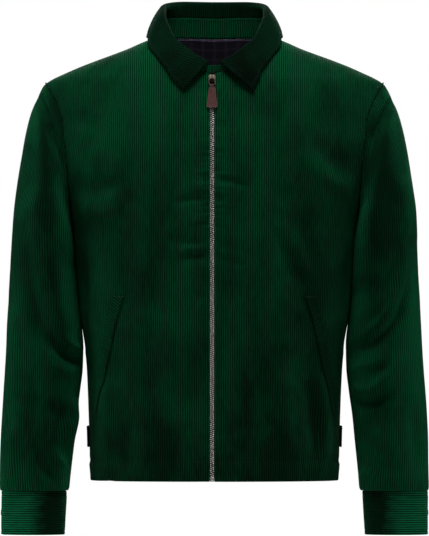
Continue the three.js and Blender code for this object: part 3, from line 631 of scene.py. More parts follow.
def panelGrid(part, side, depth):
    rows = fineRows()[:, None]
    if part == "front":
        t = fineColumns(cutting["fineColumns"])[None, :]
        edge = abs(cutting["zipOpening"] / 2 + zipX * side)
        angle, z = panelPlace("front", t, rows, edge)
        points = mirrored(bodyInside(angle, z, depth, side), side)
        points[:, -1, 1] -= cutting["seamGap"] / 2
        return points
    t = fineColumns(cutting["fineColumns"])
    signed = np.concatenate([-t[::-1], t[1:]])[None, :]
    angle, z = panelPlace("back", np.abs(signed), rows)
    points = bodyInside(angle, z, depth)
    points[..., 0] *= -np.sign(signed)
    points[:, 0, 1] += cutting["seamGap"] / 2
    points[:, -1, 1] += cutting["seamGap"] / 2
    return points


# Creases, placed on the front and the back as seen


# Each line is a run of x, z points; wide is its reach to each side and high its height, below 0 in
# a trough. A step, if given, makes the cloth on the line's left hang over its right.
creases = {
    "front": [
        {"line": [(-78, -288), (-40, -292), (16, -293)], "wide": 5.2, "high": -1.6},
        {"line": [(-56, -318), (-30, -311), (14, -312)], "wide": 4.6, "high": -2.0},
        {"line": [(-50, -303), (14, -302)], "wide": 5, "high": 1.3},
        {"line": [(-46, -334), (14, -325)], "wide": 9, "high": 1.1},
        {"line": [(-18, -317), (20, -318), (46, -325)], "wide": 4.6, "high": -1.7},
        {"line": [(-18, -295), (24, -300), (60, -312)], "wide": 6, "high": -0.8},
        {"line": [(-20, -342), (44, -352)], "wide": 8, "high": 0.9},
        {"line": [(-62, -236), (-30, -230), (16, -231)], "wide": 5.5, "high": -1.4},
        {"line": [(-46, -211), (14, -214)], "wide": 8, "high": 0.9},
        {"line": [(-20, -199), (22, -204), (54, -214)], "wide": 6, "high": -1.4},
        {"line": [(-44, -264), (14, -257)], "wide": 7, "high": 0.8},
        {"line": [(-42, -372), (16, -366)], "wide": 6, "high": -0.8},
        {"line": [(-20, -385), (36, -392)], "wide": 6, "high": -0.7},
        {"line": [(101, -262), (116, -300), (137, -352)], "wide": 11, "high": 1.9},
        {"line": [(88, -272), (104, -318), (118, -352)], "wide": 10, "high": -1.3},
        {"line": [(-79, -380), (-66, -440), (-47, -512)], "wide": 20, "high": 2.4},
        {"line": [(-101, -400), (-88, -470), (-76, -560)], "wide": 18, "high": -2.0},
        {"line": [(-30, -420), (-24, -500), (-30, -575)], "wide": 15, "high": -1.5},
        {"line": [(95, -450), (101, -520), (110, -600)], "wide": 14, "high": 2.3},
        {"line": [(66, -462), (75, -530), (84, -590)], "wide": 14, "high": -1.9},
        {"line": [(36, -430), (44, -500), (50, -560)], "wide": 16, "high": 1.4},
        {"line": [(-160, -496), (-155, -560), (-151, -637)], "wide": 11, "high": 3.0},
        {"line": [(-139, -505), (-128, -570), (-119, -630)], "wide": 13, "high": -2.4},
        {"line": [(-104, -520), (-100, -570), (-103, -625)], "wide": 12, "high": 1.5},
        {"line": [(153, -478), (158, -550), (162, -622)], "wide": 10, "high": 2.8},
        {"line": [(136, -490), (141, -560), (146, -610)], "wide": 10, "high": -2.0},
        {"line": [(124, -492), (127, -545), (135, -600)], "wide": 9, "high": 1.6},
        {"line": [(-205, -205), (-170, -218), (-128, -206)], "wide": 12, "high": -1.8},
        {"line": [(-206, -230), (-172, -248), (-132, -250)], "wide": 12, "high": 1.3},
        {"line": [(206, -196), (168, -170), (130, -136)], "wide": 18, "high": -2.3},
        {"line": [(204, -222), (170, -206), (140, -182)], "wide": 12, "high": 1.4},
        {"line": [(-196, -100), (-176, -128), (-170, -160)], "wide": 12, "high": -1.2},
        {"line": [(-84, -96), (-60, -128), (-52, -170)], "wide": 16, "high": 1.0},
        {"line": [(60, -104), (52, -150), (58, -200)], "wide": 18, "high": 1.0},
        {"line": [(-198, -300), (-190, -340), (-186, -392)], "wide": 10, "high": -1.6},
        {"line": [(196, -300), (188, -350), (182, -400)], "wide": 10, "high": -1.6},
        {"line": [(-120, -250), (-112, -300), (-116, -350)], "wide": 18, "high": -1.1},
    ],
    "back": [
        {"line": [(-12, -60), (-18, -200), (-6, -330)], "wide": 26, "high": -1.6},
        {"line": [(30, -330), (36, -430), (22, -540)], "wide": 20, "high": 2.0},
        {"line": [(-60, -350), (-44, -450), (-52, -590)], "wide": 18, "high": -2.2},
        {"line": [(-98, -360), (-92, -470), (-104, -610)], "wide": 15, "high": 2.2},
        {"line": [(84, -390), (96, -480), (92, -600)], "wide": 16, "high": -2.1},
        {"line": [(128, -420), (124, -500), (134, -620)], "wide": 12, "high": 2.4},
        {"line": [(-196, -214), (-150, -240), (-96, -246)], "wide": 13, "high": -2.2},
        {"line": [(-200, -240), (-150, -272), (-90, -282)], "wide": 12, "high": 1.6},
        {"line": [(198, -206), (150, -226), (88, -228)], "wide": 14, "high": -2.4},
        {"line": [(200, -236), (156, -262), (104, -272)], "wide": 11, "high": 1.7},
        {"line": [(-120, -298), (-60, -306), (-10, -298)], "wide": 11, "high": -1.2},
        {"line": [(20, -302), (70, -314), (130, -300)], "wide": 12, "high": -1.3},
        {"line": [(-150, -530), (-140, -570), (-146, -632)], "wide": 10, "high": -2.0},
        {"line": [(64, -540), (58, -590), (62, -634)], "wide": 12, "high": 1.6},
    ],
    "sleeveFront": [
        {"line": [(262, -80), (240, -113), (225, -138), (211, -166), (198, -190)], "wide": 7, "high": -3.0, "step": -2.2},
        {"line": [(-258, -74), (-238, -112), (-228, -140), (-219, -166), (-206, -196)], "wide": 7, "high": -3.0, "step": 2.2},
        {"line": [(296, -286), (284, -350), (262, -405), (230, -440), (190, -456)], "wide": 10, "high": -3.6},
        {"line": [(284, -300), (268, -362), (242, -408), (206, -432)], "wide": 10, "high": 2.8},
        {"line": [(270, -290), (258, -330), (236, -370)], "wide": 12, "high": -1.6},
        {"line": [(196, -505), (226, -506), (252, -486), (276, -450)], "wide": 8, "high": 2.6},
        {"line": [(200, -522), (232, -526), (262, -508)], "wide": 8, "high": -2.4},
        {"line": [(200, -470), (224, -470), (246, -458)], "wide": 6, "high": 2.0},
        {"line": [(240, -540), (250, -580), (268, -620)], "wide": 12, "high": 1.6},
        {"line": [(286, -520), (290, -570), (296, -626)], "wide": 11, "high": -1.8},
        {"line": [(214, -570), (236, -590), (262, -592)], "wide": 9, "high": -1.6},
        {"line": [(212, -622), (238, -634), (266, -630)], "wide": 8, "high": 1.5},
        {"line": [(272, -196), (282, -240), (284, -290)], "wide": 14, "high": 2.0},
        {"line": [(248, -190), (254, -240), (250, -300)], "wide": 14, "high": -1.7},
        {"line": [(228, -230), (224, -290), (216, -350)], "wide": 11, "high": 1.2},
        {"line": [(-258, -214), (-246, -290), (-232, -370), (-208, -442)], "wide": 15, "high": 2.6},
        {"line": [(-280, -260), (-268, -340), (-252, -410), (-224, -466)], "wide": 12, "high": -2.4},
        {"line": [(-226, -424), (-210, -440), (-192, -452)], "wide": 6, "high": 2.4},
        {"line": [(-236, -440), (-214, -458), (-194, -466)], "wide": 6, "high": -2.6},
        {"line": [(-262, -432), (-236, -470), (-204, -482)], "wide": 8, "high": 2.0},
        {"line": [(-294, -380), (-290, -440), (-292, -520)], "wide": 11, "high": 2.0},
        {"line": [(-272, -470), (-262, -520), (-266, -580)], "wide": 12, "high": -2.0},
        {"line": [(-202, -518), (-206, -550), (-214, -584)], "wide": 10, "high": 2.8},
        {"line": [(-226, -530), (-232, -570), (-240, -600)], "wide": 9, "high": -2.0},
        {"line": [(-240, -588), (-226, -606), (-214, -620)], "wide": 7, "high": 2.2},
        {"line": [(-262, -604), (-240, -628), (-222, -640)], "wide": 7, "high": -1.8},
        {"line": [(-296, -560), (-290, -600), (-294, -640)], "wide": 9, "high": 1.8},
        {"line": [(-270, -150), (-264, -190), (-268, -240)], "wide": 13, "high": -1.6},
        {"line": [(-206, -236), (-207, -280), (-206, -324)], "wide": 12, "high": 1.3},
        {"line": [(206, -240), (207, -300), (206, -362)], "wide": 14, "high": 2.6},
    ],
    "sleeveBack": [
        {"line": [(258, -78), (238, -116), (224, -150), (212, -186)], "wide": 9, "high": -2.4},
        {"line": [(-258, -78), (-240, -112), (-226, -146), (-212, -186)], "wide": 9, "high": -2.4},
        {"line": [(292, -330), (262, -372), (214, -392)], "wide": 10, "high": -3.0},
        {"line": [(296, -366), (268, -402), (218, -424)], "wide": 9, "high": 2.6},
        {"line": [(-292, -318), (-258, -356), (-212, -380)], "wide": 11, "high": -3.0},
        {"line": [(-296, -356), (-264, -392), (-214, -410)], "wide": 9, "high": 2.6},
        {"line": [(210, -470), (246, -486), (290, -470)], "wide": 9, "high": -2.4},
        {"line": [(-206, -462), (-244, -480), (-288, -462)], "wide": 9, "high": -2.2},
        {"line": [(214, -540), (250, -556), (288, -548)], "wide": 9, "high": 2.0},
        {"line": [(-216, -530), (-252, -548), (-290, -540)], "wide": 9, "high": 2.0},
        {"line": [(222, -600), (256, -612), (290, -604)], "wide": 8, "high": -1.8},
        {"line": [(-220, -596), (-250, -612), (-286, -600)], "wide": 8, "high": -1.8},
        {"line": [(256, -190), (262, -250), (254, -300)], "wide": 15, "high": 1.8},
        {"line": [(-256, -190), (-262, -250), (-254, -300)], "wide": 15, "high": 1.8},
    ],
}


def lineReach(points, line):
    # signed distance of points from a run of x, z points, and how far along it they lie, 0 to 1
    knots = np.array(line, float)
    steps = np.diff(knots, axis=0)
    lengths = np.linalg.norm(steps, axis=1)
    before = np.concatenate([[0], np.cumsum(lengths)])
    best = np.full(points.shape[:-1], 1e9)
    signed, share = best.copy(), np.zeros_like(best)
    for i, (knot, step, length) in enumerate(zip(knots, steps, lengths)):
        px, pz = points[..., 0] - knot[0], points[..., 2] - knot[1]
        along = (px * step[0] + pz * step[1]) / length**2
        if i > 0:
            along = np.maximum(along, 0)
        if i < len(steps) - 1:
            along = np.minimum(along, 1)
        dx, dz = px - along * step[0], pz - along * step[1]
        distance = np.hypot(dx, dz)
        nearer = distance < best
        best = np.where(nearer, distance, best)
        turn = np.sign(step[0] * pz - step[1] * px)
        signed = np.where(nearer, turn * distance, signed)
        share = np.where(nearer, (before[i] + along * length) / before[-1], share)
    return signed, share


def creased(points, normals, view):
    # moves a sheet's points along its normals by the creases of one view
    facing = -normals[..., 1] if "ront" in view else normals[..., 1]
    weight = eased((facing + 0.12) / 0.45)
    height = np.zeros(points.shape[:-1])
    for crease in creases[view]:
        signed, share = lineReach(points, crease["line"])
        ends = np.sin(np.pi * np.clip(share, 0, 1)) ** 0.7
        height += crease["high"] * 2.6 * np.exp(-((signed / crease["wide"]) ** 2)) * ends
        if "step" in crease:
            over = np.exp(-((np.abs(signed) / (crease["wide"] * 3)) ** 2)) * np.tanh(signed / 2.5)
            height += crease["step"] * over * ends
    return height * weight


def unevenness(points, seed, size, height):
    # slow, small waves, so that no stretch of cloth is quite even
    rng = np.random.default_rng(seed)
    total = np.zeros(points.shape[:-1])
    for _ in range(9):
        wave = rng.normal(size=3) / size
        total += np.sin(points @ wave + rng.uniform(0, 6.28)) * rng.uniform(0.4, 1)
    return total * height / 4


# Sheets


def gridNormals(grid, ring=False):
    if ring:
        along = np.roll(grid, -1, axis=1) - np.roll(grid, 1, axis=1)
    else:
        along = np.gradient(grid, axis=1)
    return unit(np.cross(along, np.gradient(grid, axis=0)))


def lengthsAcross(grid, axis, ring=False):
    steps = np.linalg.norm(np.diff(grid, axis=axis), axis=-1)
    pad = np.zeros_like(np.take(steps, [0], axis=axis))
    return np.concatenate([pad, np.cumsum(steps, axis=axis)], axis=axis)


def edgeDistances(grid, ring=False):
    # how far each point lies from the sheet's first and last column and row
    columns, rows = lengthsAcross(grid, 1), lengthsAcross(grid, 0)
    far = np.full(grid.shape[:2], 1e3)
    return {
        "first": far if ring else columns,
        "last": far if ring else columns[:, -1:] - columns,
        "bottom": rows,
        "top": rows[-1:, :] - rows,
    }


def rounded(distance, radius):
    inside = np.clip(radius - distance, 0, radius)
    return radius - np.sqrt(np.maximum(radius**2 - inside**2, 0))


def meshFrom(name, vertices, faces, materials, faceMaterial=None, uvs=None, smooth=True, body="root"):
    mesh = bpy.data.meshes.new(name)
    mesh.from_pydata((np.asarray(vertices, float) * 0.001).tolist(), [], np.asarray(faces).tolist())
    for material in materials:
        mesh.materials.append(material)
    if faceMaterial is not None:
        mesh.polygons.foreach_set("material_index", np.asarray(faceMaterial, dtype=np.int32))
    if smooth:
        mesh.polygons.foreach_set("use_smooth", np.ones(len(mesh.polygons), dtype=bool))
    if uvs is not None:
        layer = mesh.uv_layers.new(name="cords")
        layer.data.foreach_set("uv", np.asarray(uvs, dtype=np.float32).ravel())
    mesh.update()
    made = bpy.data.objects.new(name, mesh)
    bpy.context.scene.collection.objects.link(made)
    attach(made, body)
    return made


cutSizes = []


def clothSheet(name, outer, inner, uv, materials, ring=False, otherUv=None, zone=None):
    # a closed thin sheet between two matching grids; uv counts cords across and along
    rows, columns = outer.shape[:2]
    middle = (outer + inner) / 2
    count = rows * columns
    index = np.arange(count).reshape(rows, columns)
    right = np.roll(index, -1, axis=1)
    stop = columns if ring else columns - 1
    a, b = index[:-1, :stop], right[:-1, :stop]
    c, d = right[1:, :stop], index[1:, :stop]
    outside = np.stack([a, b, c, d], -1).reshape(-1, 4)
    inside = np.stack([a, d, c, b], -1).reshape(-1, 4) + count
    rims = []
    for at, flip in ((0, False), (rows - 1, True)):
        e, f = index[at, :stop], right[at, :stop]
        rims.append(np.stack([e, e + count, f + count, f][:: -1 if flip else 1], -1))
    if not ring:
        for at, flip in ((0, True), (columns - 1, False)):
            e, f = index[:-1, at], index[1:, at]
            rims.append(np.stack([e, e + count, f + count, f][:: -1 if flip else 1], -1))
    faces = np.concatenate([outside, inside, *rims])
    vertices = np.concatenate([outer.reshape(-1, 3), inner.reshape(-1, 3)])
    corner = vertices[faces]
    volume = np.einsum("ij,ij->i", corner[:, 0], np.cross(corner[:, 1], corner[:, 2])).sum()
    volume += np.einsum("ij,ij->i", corner[:, 0], np.cross(corner[:, 2], corner[:, 3])).sum()
    flat = np.concatenate([uv.reshape(-1, 2), uv.reshape(-1, 2)])
    loops = flat[faces]
    if otherUv is not None:
        other = np.concatenate([otherUv.reshape(-1, 2), otherUv.reshape(-1, 2)])
        inZone = np.concatenate([zone.ravel(), zone.ravel()])[faces].mean(axis=1) > 0.5
        loops = np.where(inZone[:, None, None], other[faces], loops)
    if ring:
        # the last column's faces run on past the seam
        wrap = np.abs(loops[:, 0, 0] - loops[:, 1, 0]) > 20
        for k in range(4):
            low = wrap & (loops[:, k, 0] < loops[:, :, 0].mean(axis=1))
            loops[low, k, 0] = loops[low].max(axis=1)[:, 0] + 0.8 if low.any() else loops[low, k, 0]
    if volume < 0:
        faces, loops = faces[:, ::-1], loops[:, ::-1]
    kinds = np.zeros(len(faces), dtype=np.int32)
    if len(materials) > 1:
        kinds[len(outside): len(outside) + len(inside)] = 1
    flat = np.concatenate([middle, middle[:, :1]], axis=1) if ring else middle
    area = np.linalg.norm(np.cross(flat[1:, 1:] - flat[:-1, :-1], flat[1:, :-1] - flat[:-1, 1:]), axis=-1)
    wide = np.linalg.norm(np.diff(flat, axis=1), axis=-1).sum(axis=1).max()
    long = np.linalg.norm(np.diff(flat, axis=0), axis=-1).sum(axis=0).max()
    made = meshFrom(name, vertices, faces, materials, kinds, loops)
    cutSizes.append((made, float(wide) * 0.001, float(long) * 0.001, float(area.sum()) / 2 * 1e-6))
    return made


def thicken(middleOuter, normals, thickness, distances, edges, radius=0.9):
    # outer and inner faces of a sheet whose edges are rounded; edges gives each seam's dip and reach
    shift = np.zeros(middleOuter.shape[:2])
    narrow = np.zeros_like(shift)
    for side, (dip, reach) in edges.items():
        shift -= dip * np.exp(-((distances[side] / reach) ** 2))
        narrow = np.maximum(narrow, rounded(distances[side], radius))
    outer = middleOuter + normals * (shift - narrow)[..., None]
    inner = middleOuter + normals * (shift + narrow * 0.9 - thickness)[..., None]
    return outer, inner


stitching = []


def stitchRow(path, normals, pitchLength=3.4, length=2.4, radius=0.32, lift=0.15):
    # a run of short raised stitches along a path on the cloth
    steps = np.linalg.norm(np.diff(path, axis=0), axis=1)
    run = np.concatenate([[0], np.cumsum(steps)])
    starts = np.arange(1.0, run[-1] - length, pitchLength)
    if len(starts) == 0:
        return

    def at(distance, values):
        return np.stack([np.interp(distance, run, values[:, k]) for k in range(3)], -1)

    first, last = at(starts, path), at(starts + length, path)
    normal = unit(at(starts + length / 2, normals))
    ahead = unit(last - first)
    sideways = unit(np.cross(ahead, normal))
    sections = []
    for share, thick, up in ((0.0, 0.45, -0.25), (0.28, 1, 0.12), (0.72, 1, 0.12), (1.0, 0.45, -0.25)):
        centre = first + (last - first) * share + normal * (lift + up)
        ring = [centre + (sideways * np.cos(turn) + normal * np.sin(turn)) * radius * thick
                for turn in (0, np.pi / 2, np.pi, 3 * np.pi / 2)]
        sections.append(np.stack(ring, 1))
    stitching.append(np.stack(sections, 1))


def makeStitches(name):
    # joins the stitches gathered so far into one piece
    points = np.concatenate(stitching)
    stitching.clear()
    count = len(points)
    base = (np.arange(count) * 16)[:, None, None]
    quads = []
    for section in range(3):
        for k in range(4):
            n = (k + 1) % 4
            quads.append([section * 4 + k, section * 4 + n, section * 4 + 4 + n, section * 4 + 4 + k])
    quads += [[3, 2, 1, 0], [12, 13, 14, 15]]
    faces = (base + np.array(quads)[None]).reshape(-1, 4)
    made = meshFrom(name, points.reshape(-1, 3), faces[:, ::-1], [finishes["thread"]])
    return made


def pathAt(grid, distance, value, axis):
    # the line on a sheet at one distance from its edge: one point for each row, or each column
    grid = grid if axis == 1 else np.swapaxes(grid, 0, 1)
    distance = distance if axis == 1 else distance.T
    path = []
    for line, reach in zip(grid, distance):
        order = np.argsort(reach)
        path.append([np.interp(value, reach[order], line[order, k]) for k in range(3)])
    return np.array(path)


# The cords' run on the body


bodyArcZ = np.linspace(-645, 10, 132)
bodyArcAngle = np.linspace(0, 180, 181)


def arcTable():
    angle, z = np.meshgrid(bodyArcAngle, bodyArcZ)
    halfWidth, front, back, square = np.moveaxis(torso(z), -1, 0)
    c, s = np.cos(np.radians(angle)), np.sin(np.radians(angle))
    x = halfWidth * s ** (2 / square)
    y = -np.sign(c) * np.where(c > 0, front, back) * np.abs(c) ** (2 / square)
    return lengthsAcross(np.stack([x, y, z], -1), 1)


arcs = arcTable()


def arcOn(angle, z):
    row = np.clip((z + 645) / 5, 0, 130.999)
    column = np.clip(angle, 0, 179.999)
    r, c = row.astype(int), column.astype(int)
    fr, fc = row - r, column - c
    low = blend(arcs[r, c], arcs[r, c + 1], fc)
    high = blend(arcs[r + 1, c], arcs[r + 1, c + 1], fc)
    return blend(low, high, fr)


def bodyCords(angle, z, x, part):
    # cords hang straight down; over the chest and shoulders they keep to the front view's lines
    arc = arcOn(angle, z)
    if part == "back":
        arc = arcOn(np.full_like(angle, 180.0), z) - arc
    flat = np.abs(x) + 16 * (np.abs(x) / 200) ** 4
    return blend(arc, flat, eased((z + 190) / 60))


panelLook = {
    "seamDip": 1.1, "seamReach": 3.2, "hemDip": 0.25, "hemReach": 1.5,
    "hemStitch": 28, "zipStitch": 7.2, "armStitch": 6.5,
    "puckerHeight": 1.15, "puckerReach": 19, "waveHeight": 0.9,
    "calmBesideSeam": 16, "calmBesideZip": 15, "liningRoom": 0.6, "liningFromZ": -345, "liningBlend": 30,
}


def puckers(z, distance, reach, height, seed):
    # short uneven gathers beside a seam
    rng = np.random.default_rng(seed)
    total = np.zeros_like(distance)
    for wavelength in (9, 13.5, 21, 34, 55):
        total += np.sin(z * 6.283 / wavelength + rng.uniform(0, 6.28) + distance / 30) * rng.uniform(0.5, 1)
    return total * height / 3 * np.exp(-((distance / reach) ** 2))


def pinch(distance, at, wide, deep):
    return -deep * np.exp(-(((distance - at) / wide) ** 2))


def bodyPanel(name, part, side):
    base = panelGrid(part, side, 0.0)
    rows = fineRows()[:, None]
    normals = gridNormals(base)
    if np.mean(np.sum(normals * (base - [0, 0, 0]) * [1, 1, 0], axis=-1)) < 0:
        normals = -normals
    distances = edgeDistances(base)
    z = base[..., 2]
    height = creased(base, normals, "front" if part == "front" else "back")
    height += unevenness(base, 3 if part == "back" else 5 + side, 46, panelLook["waveHeight"])
    rise = eased((z - cutting["underarmZ"] + 8) / 16)
    # beside a seam the cloth keeps to its cut
    sewn = ["last", "top"] if part == "front" else ["first", "last", "top"]
    for key in sewn:
        height *= eased(distances[key] / panelLook["calmBesideSeam"])
    if part == "front":
        height *= 0.15 + 0.85 * eased(distances["first"] / panelLook["calmBesideZip"])
        height += puckers(z, distances["first"], panelLook["puckerReach"], panelLook["puckerHeight"], 20 + side)
        height += pinch(distances["first"], panelLook["zipStitch"], 1.3, 0.7)
        height += 0.4 * np.exp(-((distances["first"] - 3.4) / 2.4) ** 2)
        outer = [distances["last"]]
    else:
        outer = [distances["last"], distances["first"]]
    low = distances["bottom"]
    height += pinch(low, panelLook["hemStitch"], 1.5, 1.1) + 0.8 * eased((panelLook["hemStitch"] - low) / 3)
    height += puckers(base[..., 0] + base[..., 1], np.abs(low - 24), 15, 0.7, 40 + side)
    below = eased((cutting["shoulderTipZ"] + 6 - z) / 10)
    for distance in outer:
        height += rise * below * pinch(distance, panelLook["armStitch"], 1.3, 0.55)
        beside = eased(distance / 5)
        height += rise * below * beside * puckers(z + base[..., 1], distance, 12, 0.5, 60 + side)
    if part == "back":
        # outside the lining the troughs stay shallow
        room = panelLook["liningRoom"]
        over = eased((z - panelLook["liningFromZ"]) / panelLook["liningBlend"])
        shallow = np.where(height < 0, room * np.tanh(height / room), height)
        height = blend(height, shallow, over)
    shaped = base + normals * height[..., None]
    normals = gridNormals(shaped)
    if np.mean(np.sum(normals * shaped * [1, 1, 0], axis=-1)) < 0:
        normals = -normals
    seam = (panelLook["seamDip"], panelLook["seamReach"])
    hem = (panelLook["hemDip"], panelLook["hemReach"])
    edges = {"first": seam if part == "back" else (0.15, 1.2), "last": seam, "bottom": hem, "top": seam}
    top, under = thicken(shaped, normals, cutting["clothThickness"], distances, edges)
    t = fineColumns(cutting["fineColumns"])
    if part == "back":
        t = np.concatenate([t[::-1], t[1:]])
    edge = abs(cutting["zipOpening"] / 2 + zipX * side) if part == "front" else 0
    angle, height = panelPlace(part, t[None, :], rows, edge)
    across = bodyCords(angle, height, base[..., 0], part) * np.sign(base[..., 0] + 1e-6)
    uv = np.stack([across / pitch, distances["bottom"] / pitch], -1)
    made = clothSheet(name + "_cloth", top, under, uv, [finishes["cord"], finishes["lining"]])
    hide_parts(name)
    if part == "front":
        path = pathAt(top, distances["first"], panelLook["zipStitch"], 1)
        stitchRow(path, pathAt(normals, distances["first"], panelLook["zipStitch"], 1))
    path = pathAt(top, distances["bottom"], panelLook["hemStitch"], 0)
    stitchRow(path, pathAt(normals, distances["bottom"], panelLook["hemStitch"], 0))
    for key in ["last"] if part == "front" else ["last", "first"]:
        path = pathAt(top, distances[key], panelLook["armStitch"], 1)
        keep = (path[:, 2] > cutting["underarmZ"] + 14) & (path[:, 2] < cutting["shoulderTipZ"] - 4)
        facing = pathAt(normals, distances[key], panelLook["armStitch"], 1)
        stitchRow(path[keep], facing[keep])
    return made, base, distances


print("cutting the body")
frontLeft, frontLeftBase, frontDistances = bodyPanel("front_left", "front", 1)
frontRight, frontRightBase, rightDistances = bodyPanel("front_right", "front", -1)
back, backBase, backDistances = bodyPanel("back", "back", 0)
print("fronts and back are made", len(frontLeft.data.polygons), len(back.data.polygons))


# Sleeves


sleeveLook = {
    "finePerRing": 8, "fineTurns": 176, "seamDip": 1.2, "seamReach": 3.0,
    "waveHeight": 1.0, "easeHeight": 0.4, "cuffGather": 0.8, "cordFlatness": 0.25,
    # the front drape under the shoulder, where the cords change their run
    "drape": [(262, -80), (240, -113), (225, -138), (211, -166), (198, -190)],
}
ringKeys = np.arange(len(sleeveTable))


def ringMiddle(ring):
    outX, outZ, inX, inZ, _, _, midY = np.moveaxis(sleeve(ring), -1, 0)
    return np.stack([(outX + inX) / 2, midY, (outZ + inZ) / 2], -1)


ringLengths = np.concatenate([[0], np.cumsum(np.linalg.norm(np.diff(ringMiddle(ringKeys), axis=0), axis=1))])


def lengthTo(ring):
    return np.interp(ring, ringKeys, ringLengths)


def armholePoint(turn, depth=0.0):
    z = armMiddleZ + armHalf * np.cos(np.radians(turn))
    front = (np.mod(turn, 360) <= 180)
    angle = np.where(front, panelEnd(z, "front"), panelEnd(z, "back"))
    return bodyInside(angle, z, np.full(z.shape, float(depth)))


def ringPoint(ring, turn):
    outX, outZ, inX, inZ, front, behind, midY = np.moveaxis(sleeve(ring), -1, 0)
    power = 2 / blend(2, cutting["sleeveSquareness"], np.clip(ring / 5, 0, 1))
    c, s = [np.sign(v) * np.abs(v) ** power for v in (np.cos(np.radians(turn)), np.sin(np.radians(turn)))]
    return np.stack([blend(inX, outX, (1 + c) / 2), midY - np.where(s > 0, front, behind) * s,
                     blend(inZ, outZ, (1 + c) / 2)], -1)


def sleeveGrid(side):
    count = len(sleeveTable) - 1
    ring = np.linspace(0, count, count * sleeveLook["finePerRing"] + 1)
    ring = np.unique(np.concatenate([ring, [0.05, 0.18, count - 0.02, count - 0.05]]).round(6))[:, None]
    turn = np.linspace(0, 360, sleeveLook["fineTurns"], endpoint=False)[None, :]
    ring, turn = np.broadcast_arrays(ring, turn)
    hole = armholePoint(turn)
    fade = np.maximum(1 - ring / 4, 0) ** 2
    base = ringPoint(ring, turn) + (hole - ringPoint(np.zeros_like(ring), turn)) * fade[..., None]
    out = unit(base - ringMiddle(ring))
    folds = sleeveFolds["left" if side > 0 else "right"]
    swell = foldHeight(turn, ring, folds, 0.95, lengthTo)
    base = base + out * (swell * np.minimum(ring, 1))[..., None]
    tangent = armholePoint(turn + 1) - armholePoint(turn - 1)
    inward = hole - armholePoint(turn, 1.0)
    away = unit(np.cross(tangent, inward))
    away *= np.sign(np.sum(away * (np.array([225, 0, -168]) - hole), axis=-1))[..., None]
    base = base + away * (cutting["seamGap"] * np.maximum(1 - ring, 0))[..., None]
    return mirrored(base, side), ring, turn


def sleeveCords(points, turn):
    # the way round the arm from its outer line, level with each point
    table = np.array(sleeveTable, float)[::-1]
    x, y, z = np.moveaxis(points, -1, 0)
    outX = np.interp(z, table[:, 2], table[:, 1])
    inX = np.interp(z, table[:, 4], table[:, 3])
    depth = np.interp(z, table[:, 2], (table[:, 5] + table[:, 6]) / 2)
    middleY = np.interp(z, table[:, 2], table[:, 7])
    half = (outX - inX) / 2
    angle = np.arctan2(np.abs(y - middleY) / depth, (x - (outX + inX) / 2) / half)
    steps = (np.arange(24) + 0.5) / 24 * angle[..., None]
    arc = angle * np.hypot(half[..., None] * np.sin(steps), depth[..., None] * np.cos(steps)).mean(axis=-1)
    across = blend(arc, half * (1 - np.cos(angle)), sleeveLook["cordFlatness"])
    return across * np.where(turn <= 186, 1, -1)


def sleevePiece(name, side):
    base, ring, turn = sleeveGrid(side)
    normals = gridNormals(base, True)
    outward = np.sum(normals * (base - mirrored(ringMiddle(ring), side)), axis=-1)
    if outward.mean() < 0:
        normals = -normals
    distances = edgeDistances(base, True)
    height = creased(base, normals, "sleeveFront") + creased(base, normals, "sleeveBack")
    height += unevenness(base, 11 + side, 40, sleeveLook["waveHeight"])
    girth = lengthsAcross(base, 1)
    height += puckers(girth, distances["bottom"], 12, sleeveLook["easeHeight"], 80 + side)
    height += puckers(girth, distances["top"], 16, sleeveLook["cuffGather"], 90 + side)
    height *= eased(distances["bottom"] / 9)
    # the underarm seam
    height -= 0.8 * np.exp(-(((turn - 186) * 0.9) / 2.2) ** 2)
    shaped = base + normals * height[..., None]
    sign = np.sign(np.sum(gridNormals(shaped, True) * normals, axis=-1).mean())
    normals = gridNormals(shaped, True) * sign
    seam = (sleeveLook["seamDip"], sleeveLook["seamReach"])
    top, under = thicken(shaped, normals, cutting["clothThickness"], distances,
                         {"bottom": (0.3, 2.0), "top": seam})
    across = sleeveCords(base * [side, 1, 1], turn)
    along = lengthTo(ring)
    uv = np.stack([across / pitch, along / pitch], -1)
    drape = [(x * side, z) for x, z in sleeveLook["drape"]]
    signed, share = lineReach(base, drape)
    zone = (signed * side < 0) & (ring < 6.5) & (np.abs(turn - 180) > 60) & (np.abs(turn - 180) < 150) & (share < 1.25)
    otherUv = np.stack([-(base[..., 0] * side * 0.85 + base[..., 2] * 0.53) / pitch,
                        (base[..., 0] * side * 0.53 - base[..., 2] * 0.85) / pitch], -1)
    made = clothSheet(name + "_cloth", top, under, uv, [finishes["sleeveCord"], finishes["lining"]],
                      ring=True, otherUv=otherUv, zone=zone)
    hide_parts(name)
    return made


sleeveLeft = sleevePiece("sleeve_left", 1)
sleeveRight = sleevePiece("sleeve_right", -1)
print("sleeves are made", len(sleeveLeft.data.polygons))


# Cuffs

cuffLook = {"thickness": 2.4, "lapStart": -50, "lapTurn": 36, "turns": 260, "rows": 34,
            "stitchIn": 6.0, "waveHeight": 0.7, "notchTurn": 10}


def cuffPoint(turn, drop, lift):
    outX, inX, depth, midY = np.moveaxis(cuff(drop), -1, 0)
    c, s = np.cos(np.radians(turn)), np.sin(np.radians(turn))
    z = sleeveTable[-1][2] - cutting["seamGap"] - drop
    halfWidth = (outX - inX) / 2
    return np.stack([(outX + inX) / 2 + (halfWidth + lift) * c, midY - (depth + lift) * s, z], -1)


